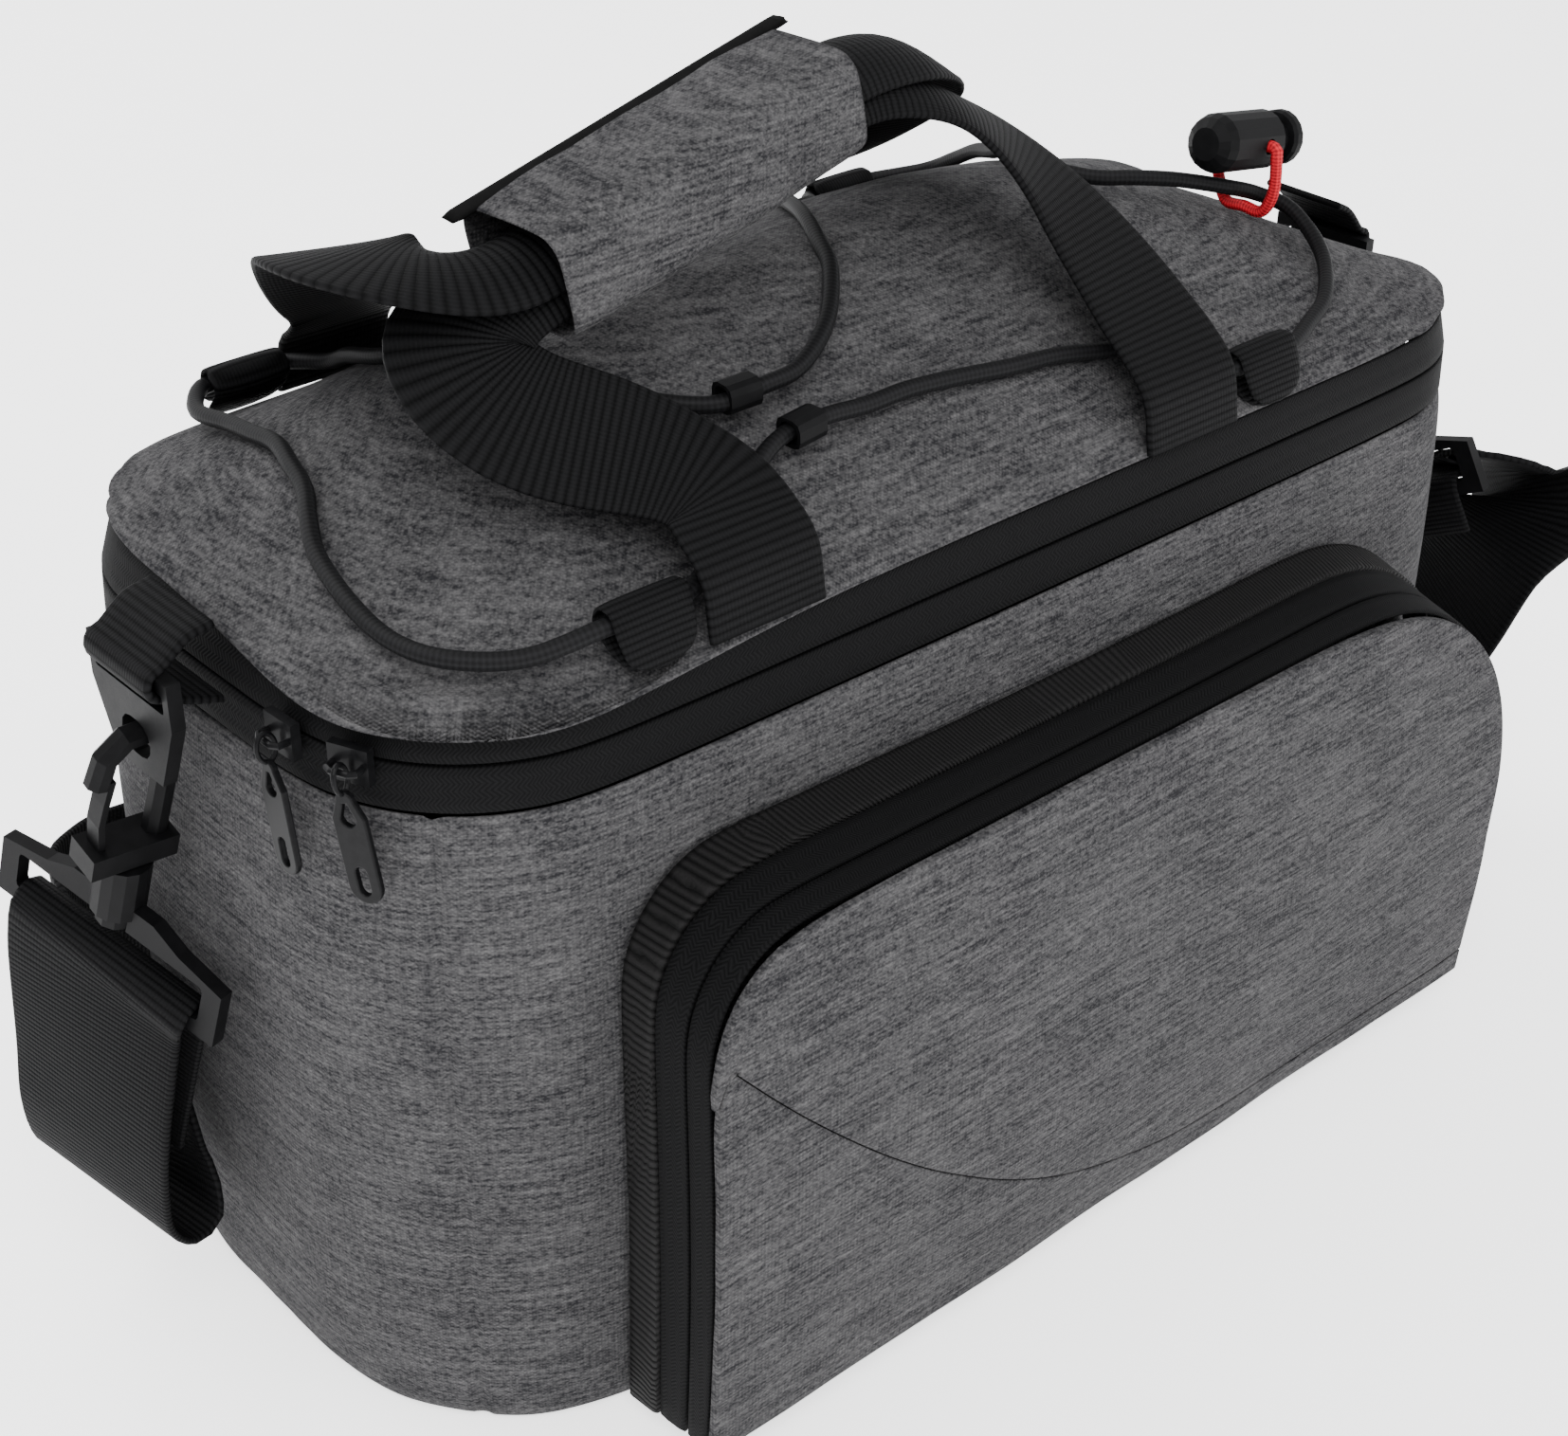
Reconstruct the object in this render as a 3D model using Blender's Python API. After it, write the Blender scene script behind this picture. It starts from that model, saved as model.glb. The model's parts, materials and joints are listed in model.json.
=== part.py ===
"""Bicycle rack bag: hollow tub, domed zip lid, side pocket, carry handles, top cord and shoulder strap.

Frame: origin at the centre of the flat base, X along the long side, pocket towards -Y, Z up.
The U-shaped main zip runs round the front, the left end (-X) and the back; the right end is the hinge.
"""
import math

import bmesh
import bpy
import numpy as np
from mathutils import Matrix, Vector

MM = 0.001
GAP = 0.4 * MM

# Body
LENGTH = 343 * MM
DEPTH = 153 * MM
TUB_HEIGHT = 166 * MM
CORNER = 46 * MM
WALL = 3 * MM

# Height, half length, half depth and corner radius as shares of TUB_HEIGHT, LENGTH / 2, DEPTH / 2
# and CORNER. The bows are how far the middle of a side or an end stands out, as shares of DEPTH.
BODY_ROWS = (
    # height, length, depth, corner, side_bow, end_bow
    (0.000, 0.992, 0.998, 1.17, 0.000, 0.000),
    (0.024, 1.004, 1.025, 1.19, 0.004, 0.002),
    (0.150, 1.006, 1.032, 1.17, 0.014, 0.006),
    (0.400, 1.008, 1.035, 1.12, 0.030, 0.012),
    (0.700, 1.008, 1.025, 1.06, 0.034, 0.014),
    (0.900, 1.004, 1.010, 1.02, 0.016, 0.008),
    (1.000, 1.000, 1.000, 1.00, 0.006, 0.004),
    (1.070, 0.996, 0.997, 0.99, 0.003, 0.002),
    (1.135, 0.972, 0.990, 0.97, 0.000, 0.000),
)

# Main zip band, between tub and lid
BAND_HEIGHT = 21 * MM
TAPE = 1.2 * MM
COIL_WIDTH = 4 * MM
COIL_DEEP = 1.4 * MM
ZIP_SLOT = 0.8 * MM

# Lid
CROWN = 39 * MM
EDGE_ROLL = 1.6 * MM
LID_ROWS = (1.0, 0.985, 0.95, 0.88, 0.76, 0.60, 0.42, 0.24, 0.08)
FRONT_POWER = 1.85
BACK_POWER = 1.6
END_POWER = 2.8
HINGE_DROP = 9 * MM
HINGE_REACH = 0.30

# Pocket on the front, seen from the front: edges measured from the bag's middle and base
POCKET_LEFT = -129 * MM
POCKET_RIGHT = 139 * MM
POCKET_FOOT = 4 * MM
FOOT_LIFT = 4 * MM
POCKET_TOP = 147 * MM
POCKET_DROP = 8 * MM
POCKET_LEFT_CORNER = 28 * MM
POCKET_RIGHT_CORNER = 60 * MM
POCKET_DEEP = 25 * MM
POCKET_BULGE = 4.5 * MM
FACE_BULGE = 3 * MM
POCKET_WALL = 2 * MM
RIB_SHARE = 0.34
POCKET_SEAM_LEFT = 0.82
POCKET_SEAM_LOW = 0.10

# Webbing, cords and pulls
HANDLE_WIDTH = 30 * MM
LOOP_WIDTH = 20 * MM
TAB_WIDTH = 25 * MM
STRAP_WIDTH = 50 * MM
WEBBING = 1.8 * MM
BUNGEE = 3.8 * MM
RED_CORD = 2.4 * MM

# Wrap round the handles
WRAP_LENGTH = 92 * MM
WRAP_WIDE = 32 * MM
WRAP_TALL = 26 * MM
WRAP_WALL = 2 * MM
WRAP_PLACE = (-58.5 * MM, -14 * MM, 256 * MM)
WRAP_HEADING = 3.0
WRAP_LIFT = 13.0
FLAP_WIDE = 16 * MM
FLAP_THICK = 1.6 * MM

# Zip sliders and pull tabs
SLIDER_LONG = 9 * MM
SLIDER_WIDE = 8 * MM
SLIDER_THICK = 2.2 * MM
BRIDGE_RISE = 4.2 * MM
BRIDGE_WIRE = 1.5 * MM
PULL_LONG = 25 * MM
PULL_WIDE = 7.5 * MM
PULL_THICK = 1.4 * MM
PULL_RING = 3.0 * MM

# Ring plate, snap hook and strap frame at each end
PLATE_WIDE = 31 * MM
PLATE_TALL = 26 * MM
PLATE_BAR = 3 * MM
PLATE_THICK = 3.2 * MM
HOOK_WIRE = 5.6 * MM
HOOK_TALL = 33 * MM
BARREL_TALL = 14 * MM
BARREL_WIDE = 12 * MM
FRAME_WIDE = 63 * MM
FRAME_TALL = 21 * MM
FRAME_THICK = 3.4 * MM
FRAME_BAR = 4 * MM
HANG_OUT = 13.5 * MM
HANG_SIDE = -1 * MM

POST_WIDE = 6.4 * MM
HEAD_WIDE = 9 * MM
LEFT_LEAN = (-6.0, 16.0, -56.0)
RIGHT_LEAN = (6.0, -26.0, -52.0)

# Cord lock
LOCK_WIDE = 14.5 * MM
LOCK_LONG = 24 * MM
LOCK_BORE = 10 * MM
LOCK_TRAVEL = 4 * MM
LOCK_PLACE = (107 * MM, -28 * MM, 230 * MM)
LOCK_DIP = 10.0

GREY = (0.080, 0.080, 0.086)
BLACK = (0.012, 0.012, 0.013)
TAPE_BLACK = (0.016, 0.016, 0.017)

bag = None


def start_scene():
    for old in list(bpy.data.objects):
        bpy.data.objects.remove(old, do_unlink=True)
    made = bpy.data.collections.new("bicycle_rack_bag")
    bpy.context.scene.collection.children.link(made)
    helpers = bpy.data.collections.new("cutters")
    bpy.context.scene.collection.children.link(helpers)
    return made, helpers


def material(name, colour, roughness, metallic=0.0):
    found = bpy.data.materials.get(name)
    if found:
        return found
    made = bpy.data.materials.new(name)
    made.use_nodes = True
    shader = made.node_tree.nodes["Principled BSDF"]
    shader.inputs["Base Color"].default_value = (*colour, 1.0)
    shader.inputs["Roughness"].default_value = roughness
    shader.inputs["Metallic"].default_value = metallic
    return made


def grey_cloth():
    return material("grey_melange_cloth", GREY, 0.9)


def black_webbing():
    return material("black_webbing", BLACK, 0.75)


def zip_tape_cloth():
    return material("black_zip_tape", TAPE_BLACK, 0.8)


def black_plastic():
    return material("black_acetal", BLACK, 0.42)


def black_metal():
    return material("black_painted_zinc", BLACK, 0.22, 0.6)


def add_object(name, mesh, look):
    obj = bpy.data.objects.new(name, mesh)
    mesh.materials.append(look)
    bag.objects.link(obj)
    return obj


def mesh_from(name, points, faces, look, smooth=True):
    mesh = bpy.data.meshes.new(name)
    mesh.from_pydata([tuple(p) for p in points], [], faces)
    mesh.update()
    if smooth:
        mesh.shade_smooth()
    return add_object(name, mesh, look)


def loft(name, rings, look, caps=True, loop=False):
    """A closed solid through rings of equal length; loop joins the last ring to the first."""
    count = len(rings[0])
    points = [p for ring in rings for p in ring]
    faces = []
    last = len(rings) if loop else len(rings) - 1
    for row in range(last):
        here, there = row * count, ((row + 1) % len(rings)) * count
        for k in range(count):
            n = (k + 1) % count
            faces.append((here + k, here + n, there + n, there + k))
    if caps and not loop:
        faces.append(tuple(reversed(range(count))))
        faces.append(tuple(range((len(rings) - 1) * count, len(rings) * count)))
    return turn_outward(mesh_from(name, points, faces, look))


def turn_outward(obj):
    work = bmesh.new()
    work.from_mesh(obj.data)
    bmesh.ops.recalc_face_normals(work, faces=work.faces)
    if work.calc_volume(signed=True) < 0:
        bmesh.ops.reverse_faces(work, faces=work.faces)
    work.to_mesh(obj.data)
    work.free()
    obj.data.update()
    return obj


def skin(name, outer, inner, look, ring=False):
    """A wall between two grids of equal size; ring says that each row closes on itself."""
    rows, cols = len(outer), len(outer[0])
    points = [p for row in outer for p in row] + [p for row in inner for p in row]
    back = rows * cols
    faces = []
    across = cols if ring else cols - 1
    for j in range(rows - 1):
        for i in range(across):
            n = (i + 1) % cols
            quad = (j * cols + i, j * cols + n, (j + 1) * cols + n, (j + 1) * cols + i)
            faces.append(quad)
            faces.append(tuple(back + q for q in reversed(quad)))
    for j, way in ((0, 1), (rows - 1, -1)):
        for i in range(across):
            n = (i + 1) % cols
            rim = (j * cols + i, back + j * cols + i, back + j * cols + n, j * cols + n)
            faces.append(rim[::way])
    if not ring:
        for i, way in ((0, -1), (cols - 1, 1)):
            for j in range(rows - 1):
                a, b = j * cols + i, (j + 1) * cols + i
                faces.append((a, back + a, back + b, b)[::way])
    return turn_outward(mesh_from(name, points, faces, look))


def smooth_through(stations, pitch):
    """Points on a Catmull-Rom curve through rows of numbers, about pitch apart and on every row."""
    data = np.array(stations, float)
    padded = np.vstack([2 * data[0] - data[1], data, 2 * data[-1] - data[-2]])
    out = []
    for k in range(len(data) - 1):
        p0, p1, p2, p3 = padded[k:k + 4]
        parts = max(1, round(np.linalg.norm(p2[:3] - p1[:3]) / pitch))
        for j in range(parts):
            u = j / parts
            out.append(0.5 * (2 * p1 + (p2 - p0) * u + (2 * p0 - 5 * p1 + 4 * p2 - p3) * u ** 2
                              + (3 * p1 - p0 - 3 * p2 + p3) * u ** 3))
    out.append(data[-1])
    return np.array(out)


def unit(v):
    return v / np.linalg.norm(v)


def ribbon(name, stations, width, thick, pitch, look, across=1):
    """Webbing along stations of (x, y, z, width direction, curl in degrees) with a bent section."""
    line = smooth_through(stations, pitch)
    rings = []
    for k, row in enumerate(line):
        along = unit(line[min(k + 1, len(line) - 1), :3] - line[max(k - 1, 0), :3])
        side = row[3:6] - along * np.dot(row[3:6], along)
        side = unit(side)
        face = np.cross(along, side)
        curl = math.radians(row[6])
        upper, lower = [], []
        for j in range(across + 1):
            share = j / across - 0.5
            if abs(curl) < 0.02:
                place, out = side * width * share, face
            else:
                radius = width / curl
                angle = curl * share
                place = side * radius * math.sin(angle) + face * radius * (math.cos(angle) - 1)
                out = side * math.sin(angle) + face * math.cos(angle)
            upper.append(row[:3] + place + out * thick / 2)
            lower.append(row[:3] + place - out * thick / 2)
        rings.append(upper + lower[::-1])
    return loft(name, rings, look)


def tube(name, points, diameter, look, closed=False):
    curve = bpy.data.curves.new(name, "CURVE")
    curve.dimensions = "3D"
    curve.bevel_depth = diameter / 2
    curve.bevel_resolution = 2
    curve.use_fill_caps = True
    spline = curve.splines.new("POLY")
    spline.points.add(len(points) - 1)
    for place, point in zip(spline.points, points):
        place.co = (*point, 1.0)
    spline.use_cyclic_u = closed
    curve.materials.append(look)
    obj = bpy.data.objects.new(name, curve)
    bag.objects.link(obj)
    return obj


def as_mesh(obj):
    """The object's curve as a welded mesh object of the same name."""
    depsgraph = bpy.context.evaluated_depsgraph_get()
    mesh = bpy.data.meshes.new_from_object(obj.evaluated_get(depsgraph))
    name, place, look = obj.name, obj.matrix_world.copy(), obj.data.materials[0]
    bpy.data.objects.remove(obj, do_unlink=True)
    mesh.transform(place)
    work = bmesh.new()
    work.from_mesh(mesh)
    bmesh.ops.remove_doubles(work, verts=work.verts, dist=0.02 * MM)
    work.to_mesh(mesh)
    work.free()
    mesh.materials.clear()
    made = add_object(name, mesh, look)
    return turn_outward(made)


def outline_plate(name, loops, thick, place, look):
    """A flat plate from closed outlines, the first the edge and the rest its holes."""
    curve = bpy.data.curves.new(name, "CURVE")
    curve.dimensions = "2D"
    curve.fill_mode = "BOTH"
    curve.extrude = thick / 2
    for points in loops:
        spline = curve.splines.new("POLY")
        spline.points.add(len(points) - 1)
        for dot, point in zip(spline.points, points):
            dot.co = (point[0], point[1], 0.0, 1.0)
        spline.use_cyclic_u = True
    curve.materials.append(look)
    obj = bpy.data.objects.new(name, curve)
    bag.objects.link(obj)
    obj.matrix_world = place
    bpy.context.view_layer.update()
    return as_mesh(obj)


def cylinder(name, radius, length, place, look, sides=20):
    """A cylinder along the local Z of place, centred on it."""
    work = bmesh.new()
    bmesh.ops.create_cone(work, cap_ends=True, segments=sides, radius1=radius, radius2=radius,
                          depth=length, matrix=place)
    mesh = bpy.data.meshes.new(name)
    work.to_mesh(mesh)
    work.free()
    return add_object(name, mesh, look)


def box(name, size, place, look):
    work = bmesh.new()
    bmesh.ops.create_cube(work, size=1.0, matrix=place @ Matrix.Diagonal((*size, 1.0)))
    mesh = bpy.data.meshes.new(name)
    work.to_mesh(mesh)
    work.free()
    return add_object(name, mesh, look)


def combine(target, other, operation):
    """Boolean with the EXACT solver; the other object goes to the cutters."""
    bag.objects.unlink(other)
    cutters.objects.link(other)
    other.hide_render = True
    other.display_type = "WIRE"
    cut = target.modifiers.new(operation.lower(), "BOOLEAN")
    cut.operation = operation
    cut.object = other
    return target


def rounded_box(wide, tall, radius, steps=3, middle=(0.0, 0.0)):
    points = []
    for turn, (sx, sy) in enumerate(((1, 1), (-1, 1), (-1, -1), (1, -1))):
        for k in range(steps + 1):
            angle = math.radians(90 * (turn + k / steps))
            points.append((middle[0] + sx * (wide / 2 - radius) + radius * math.cos(angle),
                           middle[1] + sy * (tall / 2 - radius) + radius * math.sin(angle)))
    return points


def facing(place, out, up):
    """A matrix whose Z is out, Y is close to up, at place."""
    z = Vector(out).normalized()
    x = Vector(up).cross(z).normalized()
    y = z.cross(x)
    turn = Matrix((x, y, z)).transposed().to_4x4()
    return Matrix.Translation(Vector(place)) @ turn


def body_size(z):
    """Half length, half depth, corner radius and bows of the body at height z."""
    rows = np.array(BODY_ROWS)
    share = z / TUB_HEIGHT
    length, depth, corner, side, end = (np.interp(share, rows[:, 0], rows[:, k]) for k in range(1, 6))
    return length * LENGTH / 2, depth * DEPTH / 2, corner * CORNER, side * DEPTH, end * DEPTH


def wall_place(way, z, out=0.0):
    """A point on the body's outside at height z.

    way runs from 0 to 8: right side's middle, right-front corner, front, left-front corner, left end,
    left-back corner, back, right-back corner. Whole numbers are the ends of straights and corners.
    """
    half, deep, corner, side_bow, end_bow = body_size(z)
    half, deep, corner = half + out, deep + out, corner + out
    part, share = int(way) % 8, way - int(way)
    middles = ((1, -1), (-1, -1), (-1, 1), (1, 1))
    if part % 2 == 0:
        sx, sy = middles[part // 2]
        angle = math.radians((0, -90, 180, 90)[part // 2] - 90 * share)
        x = sx * (half - corner) + corner * math.cos(angle)
        y = sy * (deep - corner) + corner * math.sin(angle)
    else:
        start = middles[part // 2]
        stop = middles[(part // 2 + 1) % 4]
        ends = []
        for (sx, sy), offset in ((start, 0), (stop, 0)):
            if part in (1, 5):
                ends.append((sx * (half - corner), sy * deep))
            else:
                ends.append((sx * half, sy * (deep - corner)))
        x = ends[0][0] * (1 - share) + ends[1][0] * share
        y = ends[0][1] * (1 - share) + ends[1][1] * share
    y += side_bow * math.cos(math.pi * x / (2 * half)) ** 2 * y / deep
    x += end_bow * math.cos(math.pi * y / (2 * (deep + side_bow))) ** 2 * x / half
    return np.array((x, y, z))


def ring_ways(corner_steps=5, long_steps=7, short_steps=3):
    """Stops round the whole outline, closer at the corners."""
    stops = []
    for part in range(8):
        count = corner_steps if part % 2 == 0 else (long_steps if part in (1, 5) else short_steps)
        stops += [part + k / count for k in range(count)]
    return stops


def front_y(x, z):
    """The Y of the body's front at x and z."""
    half, deep, corner, side_bow, _ = body_size(z)
    y = deep
    past = abs(x) - (half - corner)
    if past > 0:
        y = deep - corner + math.sqrt(max(corner ** 2 - past ** 2, 0.0))
    return -(y + side_bow * math.cos(math.pi * x / (2 * half)) ** 2 * y / deep)


LID_EDGE = TUB_HEIGHT + BAND_HEIGHT + 2.5 * GAP


def lid_place(way, reach):
    """A point on the lid's outside; reach is 1 at its edge and 0 in the middle."""
    edge = wall_place(way, LID_EDGE)
    x, y = edge[0] * reach, edge[1] * reach
    return np.array((x, y, lid_height(x, y, reach)))


def hinge_drop(x, reach=1.0):
    """How far the lid's edge hangs down over the hinge at the right end."""
    zip_end = wall_place(HINGE_REACH - 0.1, LID_EDGE)[0]
    half = body_size(LID_EDGE)[0]
    share = min(max((x / max(reach, 0.05) - zip_end) / (half - zip_end), 0.0), 1.0)
    return HINGE_DROP * share ** 2 * (3 - 2 * share) * reach ** 3


def lid_height(x, y, reach):
    half, deep = body_size(LID_EDGE)[:2]
    roll = EDGE_ROLL * math.sqrt(max(1 - reach ** 8, 0.0))
    side_power = FRONT_POWER if y < 0 else BACK_POWER
    dome = (1 - min(abs(x) / half, 1) ** END_POWER) * (1 - min(abs(y) / deep, 1) ** side_power)
    return LID_EDGE + roll + CROWN * dome - hinge_drop(x, reach)


def edge_table():
    edge = np.array([wall_place(way, LID_EDGE)[:2] for way in np.linspace(0, 8, 241)[:-1]])
    angles = np.arctan2(edge[:, 1], edge[:, 0])
    order = np.argsort(angles)
    return angles[order], np.linalg.norm(edge, axis=1)[order]


EDGE_ANGLES, EDGE_REACHES = edge_table()


def on_lid(x, y, above=0.0):
    """The place above the lid at x and y."""
    full = np.interp(math.atan2(y, x), EDGE_ANGLES, EDGE_REACHES, period=2 * math.pi)
    return np.array((x, y, lid_height(x, y, min(math.hypot(x, y) / full, 1.0)) + above))


def make_tub():
    ways = ring_ways()
    heights = [row[0] * TUB_HEIGHT for row in BODY_ROWS if row[0] <= 1.0]
    outer = [[wall_place(w, z) for w in ways] for z in heights]
    inner_heights = [WALL] + [z for z in heights[2:]]
    inner = [[wall_place(w, z, -WALL) for w in ways] for z in inner_heights]
    rings = outer + inner[::-1]
    count = len(ways)
    points = [p for ring in rings for p in ring]
    faces = []
    for row in range(len(rings) - 1):
        for k in range(count):
            n = (k + 1) % count
            faces.append((row * count + k, row * count + n, (row + 1) * count + n, (row + 1) * count + k))
    faces.append(tuple(reversed(range(count))))
    faces.append(tuple(range((len(rings) - 1) * count, len(rings) * count)))
    return turn_outward(mesh_from("body_tub", points, faces, grey_cloth()))


def make_lid():
    ways = ring_ways(5, 8, 4)
    outer = [[lid_place(w, r) for w in ways] for r in LID_ROWS]
    inner = []
    for ring, r in zip(outer, LID_ROWS):
        shrink = max(r - WALL / (DEPTH / 2), 0.3 * r)
        inner.append([np.array((p[0] * shrink / r, p[1] * shrink / r, p[2] - WALL * (1 - 0.97 * r ** 9)))
                      for p in ring])
    rings = outer[::-1] + inner
    count = len(ways)
    points = [p for ring in rings for p in ring]
    faces = []
    for row in range(len(rings) - 1):
        for k in range(count):
            n = (k + 1) % count
            faces.append((row * count + k, row * count + n, (row + 1) * count + n, (row + 1) * count + k))
    faces.append(tuple(reversed(range(count))))
    faces.append(tuple(range((len(rings) - 1) * count, len(rings) * count)))
    return turn_outward(mesh_from("lid", points, faces, grey_cloth()))


def band_wall(name, ways, heights, thick, inset, look, lowered=None):
    """A strip of cloth through the heights along the stops in ways; lowered pulls its top down."""
    outer, inner = [], []
    for z in heights:
        share = (z - heights[0]) / (heights[-1] - heights[0])
        line_out, line_in = [], []
        for way in ways:
            place = wall_place(way, z, -inset)
            behind = wall_place(way, z, -inset - thick)
            drop = lowered(wall_place(way, LID_EDGE)[0]) * share if lowered else 0.0
            line_out.append(place - np.array((0.0, 0.0, drop)))
            line_in.append(behind - np.array((0.0, 0.0, drop)))
        outer.append(line_out)
        inner.append(line_in)
    return skin(name, outer, inner, look)


def make_main_zip():
    stops = ring_ways(5, 5, 3)
    margin = 0.02
    hinge_start = 7 - HINGE_REACH
    zip_ways = [HINGE_REACH + 0.004] + [w for w in stops if HINGE_REACH + margin < w < hinge_start - margin]
    zip_ways.append(hinge_start - 0.004)
    stops = ring_ways(5, 8, 4)
    hinge_ways = [hinge_start + 0.006] + [w for w in stops if w > hinge_start + margin]
    hinge_ways += [8 + w for w in stops if w < HINGE_REACH - margin] + [8 + HINGE_REACH - 0.006]
    low = TUB_HEIGHT + GAP
    high = low + BAND_HEIGHT
    line = (low + high) / 2
    inset = 0.5 * MM
    band_wall("main_zip_lower_tape", zip_ways, (low, line - ZIP_SLOT / 2), TAPE, inset, zip_tape_cloth())
    band_wall("main_zip_upper_tape", zip_ways, (line + ZIP_SLOT / 2, high), TAPE, inset, zip_tape_cloth())
    band_wall("main_zip_coil", zip_ways, (line - COIL_WIDTH / 2, line + COIL_WIDTH / 2), COIL_DEEP,
              inset + TAPE + GAP, black_plastic())
    band_wall("lid_hinge", hinge_ways, (low, line, high), WALL * 0.8, 0.0, grey_cloth(), hinge_drop)
    return line


def make_slider(index, way, line):
    """A slider on the left end with its pull tab, and the axis that the tab hangs on."""
    here = wall_place(way, line)
    ahead = wall_place(way + 0.02, line)
    along = Vector(ahead - here).normalized()
    out = along.cross(Vector((0, 0, 1))).normalized()
    if out.x > 0:
        out = -out
    seat = Vector(here) + out * (GAP + SLIDER_THICK / 2 - 0.5 * MM + 0.3 * MM)
    place = facing(seat, out, along)
    body = box("main_zip_slider_%d" % index, (SLIDER_WIDE, SLIDER_LONG, SLIDER_THICK), place,
               black_metal())
    foot = SLIDER_LONG * 0.36
    arch = [seat - along * foot, seat - along * foot + out * BRIDGE_RISE * 0.8,
            seat - along * foot * 0.6 + out * BRIDGE_RISE, seat + along * foot * 0.6 + out * BRIDGE_RISE,
            seat + along * foot + out * BRIDGE_RISE * 0.8, seat + along * foot]
    bridge = as_mesh(tube("bridge_%d" % index, arch, BRIDGE_WIRE, black_metal()))
    combine(body, bridge, "UNION")
    axis = seat + out * (BRIDGE_RISE - BRIDGE_WIRE / 2 - 0.9 * MM)
    down = Vector((0, 0, -1))
    eye_wire = 1.1 * MM
    grip = BRIDGE_RISE - BRIDGE_WIRE - 0.2 * MM
    make_pull(index, seat, out, down, along, eye_wire, grip)
    return axis, along


def make_pull(index, seat, out, down, along, wire, grip):
    """A pull tab whose ring goes round the slider's bridge."""
    ring_middle = seat + out * BRIDGE_RISE + down * (PULL_RING - BRIDGE_WIRE / 2 - wire / 2 - 0.35 * MM)
    points = []
    for k in range(12):
        angle = 2 * math.pi * k / 12
        points.append(ring_middle + out * math.cos(angle) * PULL_RING * 0.68 + down * math.sin(angle) * PULL_RING)
    ring = as_mesh(tube("main_zip_pull_%d" % index, points, wire, black_metal(), closed=True))
    top = ring_middle + down * (PULL_RING + wire * 0.1)
    wide = PULL_WIDE / 2
    edge = [(-wire * 1.2, 0.0), (wire * 1.2, 0.0), (wide, 3.2 * MM), (wide, PULL_LONG - wide)]
    edge += [(wide * math.cos(math.radians(a)), PULL_LONG - wide + wide * math.sin(math.radians(a)))
             for a in (30, 60, 90, 120, 150)]
    edge += [(-wide, PULL_LONG - wide), (-wide, 3.2 * MM)]
    x = along.normalized()
    y = down.normalized()
    z = x.cross(y)
    place = Matrix.Translation(top) @ Matrix((x, y, z)).transposed().to_4x4()
    blade = outline_plate("blade_%d" % index, [edge], PULL_THICK, place, black_metal())
    combine(ring, blade, "UNION")
    return ring


def pocket_foot(depth_share):
    return POCKET_FOOT + FOOT_LIFT * depth_share


def pocket_outline(depth_share, steps=6, straight=4, top_steps=9):
    """Places on the pocket's side wall: an inverted U at depth_share from the body to the face."""
    top = POCKET_TOP - POCKET_DROP * depth_share
    left, right = POCKET_LEFT, POCKET_RIGHT
    near, far = POCKET_LEFT_CORNER, POCKET_RIGHT_CORNER
    foot = pocket_foot(depth_share)
    flat = [(left, foot + (top - near - foot) * k / straight) for k in range(straight)]
    for k in range(steps + 1):
        angle = math.radians(180 - 90 * k / steps)
        flat.append((left + near + near * math.cos(angle), top - near + near * math.sin(angle)))
    for k in range(1, top_steps):
        flat.append((left + near + (right - left - near - far) * k / top_steps, top))
    for k in range(steps + 1):
        angle = math.radians(90 - 90 * k / steps)
        flat.append((right - far + far * math.cos(angle), top - far + far * math.sin(angle)))
    flat += [(right, top - far - (top - far - foot) * k / straight) for k in range(1, straight + 1)]
    return flat


def pocket_place(x, z, depth_share, back_gap=GAP + 0.6 * MM):
    start = front_y(x, z) - back_gap
    finish = -(DEPTH / 2 + 5 * MM) - POCKET_DEEP
    lean = POCKET_BULGE * math.sin(math.pi * min(max(z / POCKET_TOP, 0), 1)) * depth_share
    return np.array((x, start * (1 - depth_share) + (finish - lean) * depth_share, z))


def inset_outline(flat, by):
    """The outline moved inward by a wall."""
    middle = (POCKET_LEFT + POCKET_RIGHT) / 2
    centre = POCKET_TOP / 2
    out = []
    for k, (x, z) in enumerate(flat):
        a, b = flat[max(k - 1, 0)], flat[min(k + 1, len(flat) - 1)]
        tx, tz = b[0] - a[0], b[1] - a[1]
        size = math.hypot(tx, tz)
        nx, nz = tz / size, -tx / size
        if nx * (middle - x) + nz * (centre - z) < 0:
            nx, nz = -nx, -nz
        if k in (0, len(flat) - 1):
            nz = 0.0
        out.append((x + nx * by, z + nz * by))
    return out


def pocket_band(name, shares, thick, look, inset=0.0):
    outer, inner = [], []
    for share in shares:
        flat = pocket_outline(share)
        if inset:
            flat = inset_outline(flat, inset)
        outer.append([pocket_place(x, z, share) for x, z in flat])
        inner.append([pocket_place(x, z, share) for x, z in inset_outline(flat, thick)])
    return skin(name, outer, inner, look)


def pocket_top(x, share):
    """The height of the pocket's outline at x."""
    top = POCKET_TOP - POCKET_DROP * share
    if x < POCKET_LEFT + POCKET_LEFT_CORNER:
        radius, past = POCKET_LEFT_CORNER, POCKET_LEFT + POCKET_LEFT_CORNER - x
    else:
        radius, past = POCKET_RIGHT_CORNER, max(x - (POCKET_RIGHT - POCKET_RIGHT_CORNER), 0.0)
    return top - radius + math.sqrt(max(radius ** 2 - past ** 2, 0.0))


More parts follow.
